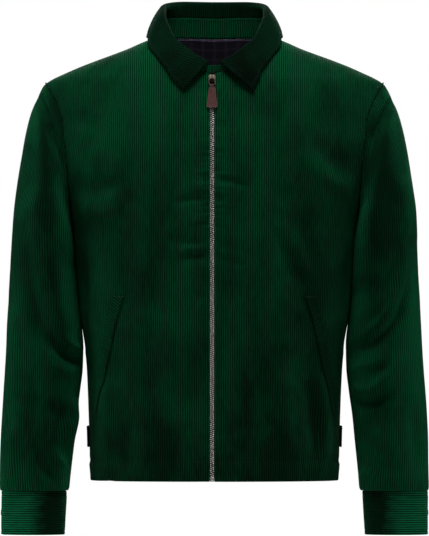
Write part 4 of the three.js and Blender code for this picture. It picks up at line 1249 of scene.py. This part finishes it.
def cuffPiece(name, side):
    turn = np.linspace(cuffLook["lapStart"], cuffLook["lapStart"] + 360 + cuffLook["lapTurn"], cuffLook["turns"])
    turn = np.unique(np.concatenate([turn, turn[:1] + [0.4, 1], turn[-1:] - [0.4, 1]]).round(5))
    drop = np.unique(np.concatenate([np.linspace(0, 63.5, cuffLook["rows"]), [0.3, 0.8, 62.7, 63.2]]).round(4))
    turn, drop = np.meshgrid(turn, drop)
    sunk = (cuffLook["thickness"] + 0.5) * (1 - eased((turn - cuffLook["lapStart"] - 300) / 60))
    base = mirrored(cuffPoint(turn, drop, -sunk), side)
    middle = mirrored(cuffPoint(turn, drop, -30.0), side)
    normals = gridNormals(base)
    normals = normals * np.sign(np.sum(normals * (base - middle), axis=-1).mean())
    distances = edgeDistances(base)
    height = unevenness(base, 31 + side, 24, cuffLook["waveHeight"]) * eased(distances["bottom"] / 14)
    height += pinch(distances["top"], cuffLook["stitchIn"], 1.2, 0.5)
    height += pinch(distances["bottom"], cuffLook["stitchIn"], 1.2, 0.5)
    height += puckers(base[..., 0], np.abs(distances["bottom"] - 4), 12, 0.5, 33 + side)
    shaped = base + normals * np.minimum(height, 1.2)[..., None]
    top, under = thicken(shaped, normals, cuffLook["thickness"], distances,
                         {"bottom": (0.6, 2.2), "top": (0.1, 1), "first": (0.1, 1), "last": (0.1, 1)}, 1.1)
    girth = lengthsAcross(base, 1)
    uv = np.stack([drop / pitch, girth / pitch], -1)
    made = clothSheet(name + "_cloth", top, under, uv, [finishes["cuffCord"]])
    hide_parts(name)
    for key in ("top", "bottom"):
        path = pathAt(top, distances[key], cuffLook["stitchIn"], 0)
        facing = pathAt(normals, distances[key], cuffLook["stitchIn"], 0)
        showing = turn[0] > cuffLook["lapStart"] + cuffLook["lapTurn"]
        stitchRow(path[showing], facing[showing])
    return made


cuffLeft = cuffPiece("cuff_left", 1)
cuffRight = cuffPiece("cuff_right", -1)
print("cuffs are made")


# Collar


collarLook = {"standThickness": 2.2, "fallThickness": 2.6, "fallLift": 4.4, "columns": 3,
              "fallRows": 46, "standRows": 22, "stitchIn": 5.5, "waveHeight": 0.55, "cordLean": 0.75}


def neckColumns():
    # the neck seam from the left front edge round the back to the right front edge
    lower = fineRows().searchsorted(fineRows()[-1] - 1 - 1e-6)
    pieces = [(panelGrid("front", 1, 0.0), panelGrid("front", 1, cutting["clothThickness"]), slice(None, -1)),
              (panelGrid("back", 0, 0.0), panelGrid("back", 0, cutting["clothThickness"]), slice(None)),
              (panelGrid("front", -1, 0.0)[:, ::-1], panelGrid("front", -1, cutting["clothThickness"])[:, ::-1],
               slice(1, None))]
    outer = np.concatenate([p[0][-1, p[2]] for p in pieces])
    inner = np.concatenate([p[1][-1, p[2]] for p in pieces])
    up = np.concatenate([unit(p[0][-1, p[2]] - p[0][lower, p[2]]) for p in pieces])
    return outer, inner, up


def neckData():
    outer, inner, up = neckColumns()
    middle = (outer + inner) / 2
    steps = np.linalg.norm(np.diff(middle, axis=0), axis=1)
    run = np.concatenate([[0], np.cumsum(steps)])
    centre = (len(run) - 1) // 2
    share = np.abs(run - run[centre])
    share = np.where(np.arange(len(run)) <= centre, share / share[0], share / share[-1])
    side = np.where(np.arange(len(run)) < centre, 1.0, -1.0)
    # even steps along the seam, with the real ends kept
    even = np.unique(np.concatenate([np.linspace(0, run[-1], 300), run[[0, centre, -1]],
                                     [0.7, 1.6, run[-1] - 0.7, run[-1] - 1.6]]).round(5))
    pick = [np.stack([np.interp(even, run, a[:, k]) for k in range(3)], -1) for a in (outer, inner, up)]
    signedShare = np.interp(even, run, share * side)
    return pick[0], pick[1], unit(pick[2]), np.abs(signedShare), np.where(signedShare >= 0, 1.0, -1.0), even


neckOuter, neckInner, neckUp, neckShare, neckSide, neckRun = neckData()
neckMiddle = (neckOuter + neckInner) / 2
sideMirror = np.stack([neckSide, np.ones_like(neckSide), np.ones_like(neckSide)], -1)
rollLine = roll(neckShare) * sideMirror
seamLine = neckMiddle + (rollLine - neckMiddle) * standShare(neckShare)


def tangents(points):
    ahead = np.gradient(points, axis=0)
    return unit(ahead)


def standLayers():
    # the stand's two faces, with its ends run on to the zip
    def ended(points, x, y=0.0, z=None):
        ends = []
        for at, side in ((0, 1), (-1, -1)):
            end = points[at].copy()
            end[0] = zipX + side * x
            end[1] += y
            if z is not None:
                end[2] = z
            ends.append(end)
        return np.concatenate([[ends[0]], points, [ends[1]]])

    def padded(values):
        return np.concatenate([values[:1], values, values[-1:]])

    outer, inner = ended(neckOuter, 0.35), ended(neckInner, 0.35)
    seam = ended(seamLine, 0.5, -1.0, cutting["frontNeckZ"] + 12)
    up = padded(neckUp)
    middle = (outer + inner) / 2
    out = unit(np.cross(seam - middle, tangents(seam)))
    out *= np.sign(np.sum(out * seam * [1, 1, 0], axis=-1))[:, None]
    half = collarLook["standThickness"] / 2
    gap = cutting["seamGap"]
    t = np.linspace(0, 1, collarLook["standRows"])[:, None, None]
    faces = []
    for face, sign in ((outer, 1), (inner, -1)):
        bottom, top = face + up * gap, seam + out * half * sign
        faces.append(bottom[None] * (1 - t) + top[None] * t)
    return faces[0], faces[1], seam, out


standOuter, standInner, standSeam, standOut = standLayers()


def roundEnds(outer, inner, radius, keep=()):
    # draws the two faces together towards a sheet's free edges
    middle, half = (outer + inner) / 2, (outer - inner) / 2
    distances = edgeDistances(middle)
    narrow = np.ones(middle.shape[:2])
    for key in ("first", "last", "bottom", "top"):
        if key in keep:
            continue
        narrow = np.minimum(narrow, 1 - 0.85 * rounded(distances[key], radius) / radius)
    return middle + half * narrow[..., None], middle - half * narrow[..., None], distances


def standPiece():
    outer, inner, distances = roundEnds(standOuter, standInner, 0.9)
    swell = unevenness(standOuter, 51, 30, 0.35)[..., None] * unit(standOuter - standInner)
    outer, inner = outer + swell, inner + swell
    girth = np.concatenate([[0], np.cumsum(np.linalg.norm(np.diff(standSeam, axis=0), axis=1))])
    rise = lengthsAcross(standOuter, 0)
    uv = np.stack([np.broadcast_to(girth, rise.shape) / pitch, rise / pitch], -1)
    made = clothSheet("collar_stand_cloth", outer, inner, uv, [finishes["cord"]])
    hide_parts("collar_stand")
    # the row of stitches just under the seam, inside the neck
    inside = unit(standInner - standOuter)
    showing = slice(24, -24)
    row = -4
    stitchRow(inner[row, showing], inside[row, showing], 3.6, 2.6, 0.34)
    return made


def splined(points, count):
    # an even, smooth run through a few rows of points
    knots = np.stack(points)
    lengths = np.linalg.norm(np.diff(knots, axis=0), axis=-1).mean(axis=1)
    keys = np.concatenate([[0], np.cumsum(lengths)])
    slope = np.zeros_like(knots)
    for i in range(len(knots)):
        low, high = max(i - 1, 0), min(i + 1, len(knots) - 1)
        slope[i] = (knots[high] - knots[low]) / (keys[high] - keys[low])
    at = np.linspace(0, keys[-1], count)
    at = np.unique(np.concatenate([at, [0.4, 1.0, keys[-1] - 0.4, keys[-1] - 1.0, keys[-1] - 1.8]]).round(5))
    i = np.clip(np.searchsorted(keys, at, side="right") - 1, 0, len(keys) - 2)
    span = (keys[i + 1] - keys[i])[:, None, None]
    t = ((at - keys[i])[:, None, None]) / span
    h = [2 * t**3 - 3 * t**2 + 1, t**3 - 2 * t**2 + t, -2 * t**3 + 3 * t**2, t**3 - t**2]
    return h[0] * knots[i] + h[1] * span * slope[i] + h[2] * knots[i + 1] + h[3] * span * slope[i + 1]


def fallMiddle():
    share = neckShare
    place = fallEdge(share)
    edge = np.empty_like(rollLine)
    for side in (1, -1):
        here = neckSide == side
        lift = np.full(here.sum(), -collarLook["fallLift"])
        edge[here] = mirrored(bodyInside(place[here, 0], place[here, 1], lift, side), side)
    edge[:, 0] += 5.4 * np.maximum(share - 0.84, 0) / 0.16
    out = unit(rollLine * [1.05, 1, 0])
    flat = (1 - 0.7 * np.maximum(share - 0.5, 0))[:, None]
    up = np.array([0, 0, 1.0])
    seam = (standOuter[-1, 1:-1] + standInner[-1, 1:-1]) / 2 + up * cutting["seamGap"]
    crest = rollLine + out * 5 * flat + up * 4 * flat
    over = rollLine + out * 9 * flat
    bend = over + (edge - over) * 0.45 + out * 6.5
    drop = [over * (1 - t) ** 2 + bend * 2 * t * (1 - t) + edge * t * t for t in (0.25, 0.5, 0.75, 1)]
    return [seam, rollLine, crest, over, *drop]


def fallPiece():
    middle = splined(fallMiddle(), collarLook["fallRows"])
    normals = gridNormals(middle)
    # out of the collar, above and in front of it once rolled
    outward = np.sum(normals[-8:] * middle[-8:] * [1, 1, 0], axis=-1).mean()
    normals *= np.sign(outward)
    distances = edgeDistances(middle)
    height = unevenness(middle, 61, 26, collarLook["waveHeight"])
    for key in ("top", "first", "last"):
        reach = distances[key]
        height += pinch(reach, collarLook["stitchIn"], 1.3, 0.45)
    height += puckers(neckRun[None, :] + distances["top"] * 0, distances["top"], 9, 0.45, 71)
    height *= eased(distances["bottom"] / 8)
    middle = middle + normals * height[..., None]
    half = collarLook["fallThickness"] / 2
    first, second = middle + normals * half, middle - normals * half
    outer, inner, _ = roundEnds(first, second, 1.2, keep=("bottom",))
    # cords run straight over the collar, from the neck to its edge
    lengths = [np.concatenate([[0], np.cumsum(np.linalg.norm(np.diff(middle[r], axis=0), axis=1))]) for r in (0, -1)]
    centre = len(neckRun) // 2
    inEdge, outEdge = lengths[0] - lengths[0][centre], lengths[1] - lengths[1][centre]
    girth = inEdge * 0.45 + outEdge * 0.55
    rise = distances["bottom"]
    lean = collarLook["cordLean"] * eased((neckShare - 0.25) / 0.6)
    girth = girth[None, :] + np.sign(girth)[None, :] * rise * lean[None, :]
    uv = np.stack([girth / pitch, rise / pitch], -1)
    made = clothSheet("collar_fall_cloth", outer, inner, uv, [finishes["darkCord"]])
    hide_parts("collar_fall")
    path = pathAt(outer, distances["top"], collarLook["stitchIn"], 0)
    stitchRow(path[6:-6], pathAt(normals, distances["top"], collarLook["stitchIn"], 0)[6:-6])
    for key in ("first", "last"):
        path = pathAt(outer, distances[key], collarLook["stitchIn"], 1)
        facing = pathAt(normals, distances[key], collarLook["stitchIn"], 1)
        stitchRow(path[18:-4], facing[18:-4])
    return made


collarStand = standPiece()
collarFall = fallPiece()
print("collar is made", len(collarFall.data.polygons))


# Lining, welts and tabs


def liningPiece():
    depth = cutting["clothThickness"]
    rows = fineRows()
    first = rows.searchsorted(rows[-1] - 14 - 1e-6)
    t = fineColumns(cutting["fineColumns"])
    keep = t <= (6 / 9 - 0.3 * np.sin(2 * np.pi * 6 / 9) / (2 * np.pi))
    columns = np.concatenate([keep[::-1], keep[1:]])
    layers = [panelGrid("back", 0, depth + d)[first:, columns] - [0, 0, 1.0] for d in (1.0, 2.0)]
    outer, inner, distances = roundEnds(layers[0], layers[1], 0.4)
    waves = unevenness(layers[0], 91, 30, 0.5)[..., None] * np.array([0, 1.0, 0])
    waves = waves * eased(distances["top"] / 8)[..., None]
    outer, inner = outer - np.abs(waves), inner - np.abs(waves)
    uv = np.stack([layers[0][..., 0] / pitch, distances["top"] / pitch], -1)
    made = clothSheet("lining_back_cloth", outer, inner, uv, [finishes["lining"]])
    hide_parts("lining_back")
    return made


lining = liningPiece()

weltLook = {"topZ": -370, "endZ": -538, "topInner": 36.3, "topOuter": 42.8, "endInner": 64.5, "endOuter": 72.3,
            "low": 0.9, "high": 3.0, "rows": 90, "columns": 16, "stitchIn": 2.4, "cordLean": 62}
tabLook = {"topZ": -558, "endZ": -589, "inner": 87, "outer": 122, "point": 8, "low": 0.8, "high": 3.4,
           "rows": 26, "columns": 80, "stitchIn": 4.0}


def patchOn(angle, z, low, high, side):
    points = [mirrored(bodyInside(angle, z, np.full(z.shape, -lift), side), side) for lift in (high, low)]
    return points[0], points[1]


def bodyHeightAt(points, side, part="front"):
    # how far the cloth under a patch has been moved by the creases
    facing = np.zeros_like(points)
    facing[..., 1] = -1 if part == "front" else 1
    return creased(points, facing, part) + unevenness(points, 5 + side, 46, panelLook["waveHeight"])


def weltPiece(name, side):
    t = np.linspace(0, 1, weltLook["rows"])
    t = np.unique(np.concatenate([t, [0.003, 0.008, 0.992, 0.997]]))[:, None]
    u = np.unique(np.concatenate([np.linspace(0, 1, weltLook["columns"]), [0.03, 0.07, 0.93, 0.97]]))[None, :]
    inner = blend(weltLook["topInner"], weltLook["endInner"], t)
    outerAngle = blend(weltLook["topOuter"], weltLook["endOuter"], t)
    angle = blend(inner, outerAngle, u)
    z = blend(weltLook["topZ"], weltLook["endZ"], t) + 0 * u
    top, under = patchOn(angle, z, weltLook["low"], weltLook["high"], side)
    outer, innerFace, distances = roundEnds(top, under, 1.0)
    normals = unit(top - under)
    height = bodyHeightAt(top, side)
    height += 0.5 * np.exp(-((distances["last"] / 2.5) ** 2)) - 0.3 * np.exp(-((distances["first"] / 1.4) ** 2))
    height += puckers(z, distances["first"], 6, 0.35, 110 + side)
    outer, innerFace = outer + normals * height[..., None], innerFace + normals * height[..., None]
    lean = np.radians(weltLook["cordLean"])
    across, along = lengthsAcross(top, 1), lengthsAcross(top, 0)
    uv = np.stack([(across * np.cos(lean) + along * np.sin(lean)) / pitch,
                   (along * np.cos(lean) - across * np.sin(lean)) / pitch], -1)
    made = clothSheet(name + "_cloth", outer, innerFace, uv, [finishes["cord"]])
    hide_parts(name)
    path = pathAt(outer, distances["first"], weltLook["stitchIn"], 1)
    stitchRow(path, normals[:, 1])
    # bar tacks close both ends
    for row in (3, -4):
        stitchRow(outer[row, 1:-1], normals[row, 1:-1], 1.3, 1.1, 0.4)
        stitchRow(outer[row - 1, 1:-1], normals[row - 1, 1:-1], 1.3, 1.1, 0.4)
    return made


def tabPiece(name, side):
    t = np.unique(np.concatenate([np.linspace(0, 1, tabLook["rows"]), [0.01, 0.03, 0.97, 0.99]]))[:, None]
    u = np.unique(np.concatenate([np.linspace(0, 1, tabLook["columns"]), [0.005, 0.015, 0.985, 0.995]]))[None, :]
    far = tabLook["outer"] - tabLook["point"] * np.abs(t - 0.5)
    angle = blend(tabLook["inner"], far, u)
    z = blend(tabLook["topZ"], tabLook["endZ"], t) + 0 * u
    top, under = patchOn(angle, z, tabLook["low"], tabLook["high"], side)
    outer, innerFace, distances = roundEnds(top, under, 1.1)
    uv = np.stack([lengthsAcross(top, 0) / pitch, lengthsAcross(top, 1) / pitch], -1)
    made = clothSheet(name + "_cloth", outer, innerFace, uv, [finishes["darkCord"]])
    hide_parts(name)
    normals = unit(top - under)
    for key in ("bottom", "top"):
        path = pathAt(outer, distances[key], tabLook["stitchIn"], 0)
        stitchRow(path, pathAt(normals, distances[key], tabLook["stitchIn"], 0))
    path = pathAt(outer, distances["last"], tabLook["stitchIn"], 1)
    stitchRow(path[5:-5], pathAt(normals, distances["last"], tabLook["stitchIn"], 1)[5:-5])
    return made


weltLeft, weltRight = weltPiece("pocket_welt_left", 1), weltPiece("pocket_welt_right", -1)
tabLeft, tabRight = tabPiece("waist_tab_left", 1), tabPiece("waist_tab_right", -1)
stitches = makeStitches("stitches")
print("welts, tabs and stitches are made", len(stitches.data.polygons))

# Zip


zipLook = {
    "top": -64.6, "end": -629.4, "pitch": 2.95, "depth": 1.25,
    # one tooth: its foot on the tape, then the nose that meets the other side
    "foot": (2.3, 2.0, 1.3), "footAt": 1.5, "nose": 0.5, "noseShare": 0.6,
    "boxSize": (6.4, 2.9, 6.1), "boxZ": -633.5,
    "sliderZ": -56.5, "pivotLift": 4.9, "pullLean": 22, "ringSize": (4.6, 5.4), "wire": 0.7,
}


def zipPlace(x, z, lift=0.0):
    # a point level with the zip, on the plain curve of the front
    x, z = np.broadcast_arrays(np.asarray(x, float), np.asarray(z, float))
    section = torso(z)
    y = -section[..., 1] * (1 - (np.abs(x) / section[..., 0]) ** section[..., 3]) ** (1 / section[..., 3])
    slope = (torso(z + 1)[..., 1] - torso(z - 1)[..., 1]) / 2
    normal = unit(np.stack([0 * y, 0 * y - 1, -slope], -1))
    return np.stack([x, y, z], -1) + normal * lift, normal


def tapePiece(name, side):
    z = np.linspace(-50, cutting["hemZ"] + 1, 150)[::-1, None]
    x = np.linspace(zipX + 0.15 * side, zipX + 12 * side, 9)[None, :]
    front, _ = zipPlace(x, z, -2.8)
    behind, _ = zipPlace(x, z, -3.5)
    outer, inner, distances = roundEnds(front, behind, 0.3)
    uv = np.stack([front[..., 0] / pitch, distances["bottom"] / pitch], -1)
    made = clothSheet(name + "_cloth", outer, inner, uv, [finishes["tape"]])
    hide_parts(name)
    return made


tapeLeft, tapeRight = tapePiece("zip_tape_left", 1), tapePiece("zip_tape_right", -1)


def addCube(name, size, place=(0, 0, 0)):
    bpy.ops.object.select_all(action="DESELECT")
    bpy.ops.mesh.primitive_cube_add(size=0.001, location=[v * 0.001 for v in place])
    made = bpy.context.object
    made.name = name
    made.scale = size
    bpy.ops.object.transform_apply(location=True, rotation=True, scale=True)
    return made


def pick(piece, test):
    # opens a piece in edit mode with the faces that pass the test selected
    bpy.ops.object.select_all(action="DESELECT")
    piece.select_set(True)
    bpy.context.view_layer.objects.active = piece
    bpy.ops.object.mode_set(mode="EDIT")
    bpy.ops.mesh.select_mode(type="FACE")
    bpy.ops.mesh.select_all(action="DESELECT")
    mesh = bmesh.from_edit_mesh(piece.data)
    mesh.normal_update()
    for face in mesh.faces:
        face.select_set(bool(test(face.calc_center_median() * 1000, face.normal)))
    mesh.select_flush_mode()
    bmesh.update_edit_mesh(piece.data)


def done():
    bpy.ops.object.mode_set(mode="OBJECT")


def grow(move, scale=(1, 1, 1), centre=(0, 0, 0)):
    # pulls the selected faces out and sizes their new end about a point
    bpy.ops.mesh.extrude_region_move(TRANSFORM_OT_translate={"value": [v * 0.001 for v in move]})
    bpy.ops.transform.resize(value=scale, center_override=[v * 0.001 for v in centre])


def softened(piece, width, segments=2, smooth=40):
    bpy.ops.object.select_all(action="DESELECT")
    piece.select_set(True)
    bpy.context.view_layer.objects.active = piece
    edges = piece.modifiers.new("edges", "BEVEL")
    edges.width = width * 0.001
    edges.segments = segments
    edges.limit_method = "ANGLE"
    edges.angle_limit = np.radians(30)
    bpy.ops.object.modifier_apply(modifier=edges.name)
    bpy.ops.object.shade_smooth_by_angle(angle=np.radians(smooth))
    return piece


def joined(name, pieces):
    bpy.ops.object.select_all(action="DESELECT")
    for piece in pieces:
        piece.select_set(True)
    bpy.context.view_layer.objects.active = pieces[0]
    if len(pieces) > 1:
        bpy.ops.object.join()
    made = bpy.context.view_layer.objects.active
    made.name = name
    made.data.name = name
    return made


def finished(piece, material, slot, body, *nodes):
    if not piece.data.materials:
        piece.data.materials.append(finishes[material])
    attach(piece, body)
    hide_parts(*nodes)
    return piece


def leanOf(normal):
    return Matrix.Rotation(float(np.arctan2(-normal[2], -normal[1])), 4, "X")


def toothRows():
    tooth = addCube("tooth", zipLook["foot"], (zipLook["footAt"], 0, 0))
    near = zipLook["footAt"] - zipLook["foot"][0] / 2
    pick(tooth, lambda centre, normal: normal.x < -0.9)
    share = zipLook["noseShare"]
    grow((-zipLook["nose"], 0, 0), (1, share, share), (near - zipLook["nose"], 0, 0))
    done()
    pick(tooth, lambda centre, normal: normal.x > 0.9)
    grow((0.5, 0, 0), (1, 1.0, 0.7), (near + zipLook["foot"][0] + 0.5, 0, 0))
    done()
    softened(tooth, 0.2, 1)
    copies = []
    turned = Matrix.Rotation(np.pi, 4, "Y")
    for side in (1, -1):
        for z in np.arange(zipLook["top"] - (0 if side > 0 else zipLook["pitch"] / 2), zipLook["end"], -zipLook["pitch"]):
            place, normal = zipPlace(zipX, z, -zipLook["depth"])
            copy = tooth.copy()
            copy.data = tooth.data.copy()
            turn = leanOf(normal) @ (turned if side < 0 else Matrix.Identity(4))
            copy.data.transform(Matrix.Translation(place * 0.001) @ turn)
            bpy.context.scene.collection.objects.link(copy)
            copies.append(copy)
    bpy.data.objects.remove(tooth)
    return finished(joined("zip_teeth", copies), "metal", "metal", "root", "zip_chain")


teeth = toothRows()


def zipBoxPiece():
    box = addCube("zip_box_metal", zipLook["boxSize"])
    deep = zipLook["boxSize"][1] / 2
    pick(box, lambda centre, normal: normal.y < -0.9)
    bpy.ops.mesh.inset(thickness=0.0009)
    grow((0, 0.45, 0))
    done()
    pick(box, lambda centre, normal: normal.z > 0.9)
    grow((0, 0, 0.8), (0.72, 0.8, 1), (0, 0, zipLook["boxSize"][2] / 2 + 0.8))
    done()
    softened(box, 0.3, 2)
    place, normal = zipPlace(zipX, zipLook["boxZ"] - 0.2, 0.6 - deep)
    box.data.transform(Matrix.Translation(place * 0.001) @ leanOf(normal))
    return finished(box, "metal", "metal", "root", "zip_box")


zipBox = zipBoxPiece()


def sliderPiece():
    face = addCube("face", (9.2, 1.8, 6), (0, -1.3, -1))
    pick(face, lambda centre, normal: normal.z > 0.9)
    bpy.ops.transform.resize(value=(1.09, 1, 1), center_override=(0, 0, 0.002))
    grow((0, 0, 3.5), (0.68, 0.9, 1), (0, -0.0, 5.5))
    done()
    pick(face, lambda centre, normal: normal.y < -0.9)
    bpy.ops.mesh.inset(thickness=0.0007)
    grow((0, -0.25, 0))
    done()
    softened(face, 0.35, 3)
    core = softened(addCube("core", (6.2, 3.0, 10.6), (0, 0.8, 0)), 0.4, 2)
    wings = addCube("wings", (8.8, 0.9, 6.4), (0, 1.7, -0.8))
    pick(wings, lambda centre, normal: normal.z > 0.9)
    grow((0, 0, 3.0), (0.72, 1, 1), (0, 1.7, 5.4))
    done()
    softened(wings, 0.3, 2)
    bridge = addCube("bridge", (2.4, 1.2, 7.2), (0, -6.1, 0))
    pick(bridge, lambda centre, normal: True)
    for z in (2.2, -2.2):
        bpy.ops.mesh.select_all(action="SELECT")
        bpy.ops.mesh.bisect(plane_co=(0, 0, z * 0.001), plane_no=(0, 0, 1))
    done()
    pick(bridge, lambda centre, normal: normal.y > 0.9 and abs(centre.z) > 2.3)
    grow((0, 3.7, 0))
    done()
    softened(bridge, 0.4, 3)
    slider = joined("slider_metal", [face, core, wings, bridge])
    seat, _ = zipPlace(zipX, zipLook["sliderZ"])
    lean = float(np.arctan((torso(-70)[1] - torso(-50)[1]) / 20))
    slider.data.transform(Matrix.Translation(seat * 0.001) @ Matrix.Rotation(-lean, 4, "X"))
    return finished(slider, "oldMetal", "metal", "root", "zip_slider"), seat, lean


slider, sliderSeat, sliderLean = sliderPiece()
pivot = np.array([zipX, sliderSeat[1] - zipLook["pivotLift"] * np.cos(sliderLean) + 0.7, sliderSeat[2] + 0.2])
pullTurn = Matrix.Translation(pivot * 0.001) @ Matrix.Rotation(-np.radians(zipLook["pullLean"]), 4, "X")


def ringPiece():
    wide, tall = zipLook["ringSize"]
    bpy.ops.object.select_all(action="DESELECT")
    bpy.ops.mesh.primitive_torus_add(major_radius=wide * 0.001, minor_radius=zipLook["wire"] * 0.001,
                                     major_segments=56, minor_segments=12, rotation=(np.pi / 2, 0, 0))
    ring = bpy.context.object
    bpy.ops.object.transform_apply(location=True, rotation=True, scale=True)
    for up in (1, -1):
        pick(ring, lambda centre, normal: centre.z * up > 0.3)
        bpy.ops.transform.translate(value=(0, 0, (tall - wide) * up * 0.001))
        done()
    bpy.ops.object.shade_smooth()
    ring.data.transform(pullTurn @ Matrix.Translation((0, 0, -tall * 0.001)))
    ring.name = "ring_metal"
    return finished(ring, "oldMetal", "metal", "pull", "pull_ring")


ring = ringPiece()

pullLook = {
    # how far down each step goes and how wide it gets, from the loop on the ring
    "steps": [(2.6, 4.6), (26.8, 8.0), (1.9, 7.4), (0.9, 5.6)],
    "neck": (5.4, 2.4, 3.6), "border": 1.5, "press": 0.3, "loopRadius": 2.1, "holeRadius": 1.1, "loopWide": 5.2,
}


def pullPiece():
    bar = -2 * zipLook["ringSize"][1]
    half, z = pullLook["neck"][0] / 2, bar - 2
    tab = addCube("tab", pullLook["neck"], (0, 0, bar - 0.2))
    pick(tab, lambda centre, normal: normal.z < -0.9)
    for down, wide in pullLook["steps"]:
        z -= down
        grow((0, 0, -down), (wide / half, 1, 1), (0, 0, z))
        half = wide
    done()
    pick(tab, lambda centre, normal: abs(normal.y) > 0.9 and centre.z < bar - 2.2)
    bpy.ops.mesh.inset(thickness=pullLook["border"] * 0.001, depth=-pullLook["press"] * 0.001)
    done()
    softened(tab, 0.3, 2)
    tab.data.materials.append(finishes["leather"])
    tab.data.materials.append(finishes["edge"])
    for face in tab.data.polygons:
        face.material_index = 1 if abs(face.normal.y) < 0.35 else 0
    bpy.ops.object.select_all(action="DESELECT")
    bpy.ops.mesh.primitive_cylinder_add(vertices=32, radius=pullLook["loopRadius"] * 0.001,
                                        depth=pullLook["loopWide"] * 0.001, rotation=(0, np.pi / 2, 0),
                                        location=(0, 0, bar * 0.001))
    loop = bpy.context.object
    bpy.ops.object.transform_apply(location=True, rotation=True, scale=True)
    pick(loop, lambda centre, normal: abs(normal.x) > 0.9)
    bpy.ops.mesh.inset(thickness=(pullLook["loopRadius"] - pullLook["holeRadius"]) * 0.001)
    bpy.ops.mesh.bridge_edge_loops()
    done()
    softened(loop, 0.2, 2)
    loop.data.materials.append(finishes["leather"])
    leather = joined("pull_leather", [tab, loop])
    leather.data.transform(pullTurn)
    return finished(leather, "leather", "leather", "pull", "zip_pull")


pullTab = pullPiece()
print("zip is made", len(teeth.data.polygons))


# Buttons


buttonLook = {"radius": 7.5, "thick": 2.6, "rim": 1.4, "dish": 0.7, "holeAt": 1.5, "holeRadius": 0.75,
              "thread": 0.42, "tabShare": 0.933, "lift": 1.8, "cuffTurn": 328, "cuffDrop": 32}


def buttonModel():
    look = buttonLook
    bpy.ops.object.select_all(action="DESELECT")
    bpy.ops.mesh.primitive_cylinder_add(vertices=48, radius=look["radius"] * 0.001, depth=look["thick"] * 0.001)
    button = bpy.context.object
    pick(button, lambda centre, normal: normal.z > 0.9)
    bpy.ops.mesh.inset(thickness=look["rim"] * 0.001)
    bpy.ops.mesh.inset(thickness=0.0006, depth=-look["dish"] * 0.001)
    done()
    softened(button, 0.4, 3)
    for x in (-1, 1):
        for y in (-1, 1):
            bpy.ops.object.select_all(action="DESELECT")
            bpy.ops.mesh.primitive_cylinder_add(
                vertices=14, radius=look["holeRadius"] * 0.001, depth=0.006,
                location=(x * look["holeAt"] * 0.001, y * look["holeAt"] * 0.001, 0))
            hole = bpy.context.object
            bpy.ops.object.select_all(action="DESELECT")
            button.select_set(True)
            bpy.context.view_layer.objects.active = button
            cut = button.modifiers.new("hole", "BOOLEAN")
            cut.operation = "DIFFERENCE"
            cut.object = hole
            bpy.ops.object.modifier_apply(modifier=cut.name)
            bpy.data.objects.remove(hole)
    bpy.ops.object.shade_smooth_by_angle(angle=np.radians(40))
    button.data.materials.append(finishes["horn"])
    threads = []
    for turn in (np.pi / 4, -np.pi / 4):
        bpy.ops.object.select_all(action="DESELECT")
        bpy.ops.mesh.primitive_cylinder_add(
            vertices=12, radius=look["thread"] * 0.001, depth=look["holeAt"] * 2.9 * 0.001,
            rotation=(np.pi / 2, 0, turn), location=(0, 0, (look["thick"] / 2 - look["dish"] + 0.15) * 0.001))
        bar = bpy.context.object
        bpy.ops.object.transform_apply(location=True, rotation=True, scale=True)
        softened(bar, 0.2, 2)
        bar.data.materials.append(finishes["thread"])
        threads.append(bar)
    return joined("button", [button, *threads])


def placeButton(model, name, place, normal, size=1.0):
    copy = model.copy()
    copy.data = model.data.copy()
    copy.name = copy.data.name = name + "_horn"
    turn = Vector(normal).to_track_quat("Z", "Y").to_matrix().to_4x4()
    copy.data.transform(Matrix.Translation(place * 0.001) @ turn @ Matrix.Scale(size, 4))
    bpy.context.scene.collection.objects.link(copy)
    return finished(copy, "horn", "button", "root", name)


def makeButtons():
    model = buttonModel()
    look = buttonLook
    around = cuffPoint(look["cuffTurn"] + 1.0, look["cuffDrop"], 0) - cuffPoint(look["cuffTurn"] - 1.0, look["cuffDrop"], 0)
    facing = unit(np.cross(around, [0, 0, 1.0]))
    seat = cuffPoint(look["cuffTurn"], look["cuffDrop"], 0)
    facing = facing * np.sign(np.dot(facing, seat - cuffPoint(look["cuffTurn"], look["cuffDrop"], -5)))
    tabZ = (tabLook["topZ"] + tabLook["endZ"]) / 2
    tabFacing = bodyNormal(115, tabZ)
    tabSeat = bodyPoint(115, tabZ) + tabFacing * tabLook["high"]
    for name, side in (("left", 1), ("right", -1)):
        placeButton(model, "cuff_button_" + name, mirrored(seat + facing * look["lift"], side), mirrored(facing, side))
        placeButton(model, "tab_button_" + name, mirrored(tabSeat + tabFacing * look["lift"], side),
                    mirrored(tabFacing, side), look["tabShare"])
    bpy.data.objects.remove(model)


makeButtons()
print("buttons are made")


# Sheets: the size that each piece of cloth was cut to


for piece, wide, long, area in cutSizes:
    print(piece.name, "cut", round(wide * 1000), "by", round(long * 1000), "mm, area", round(area, 4), "m2")
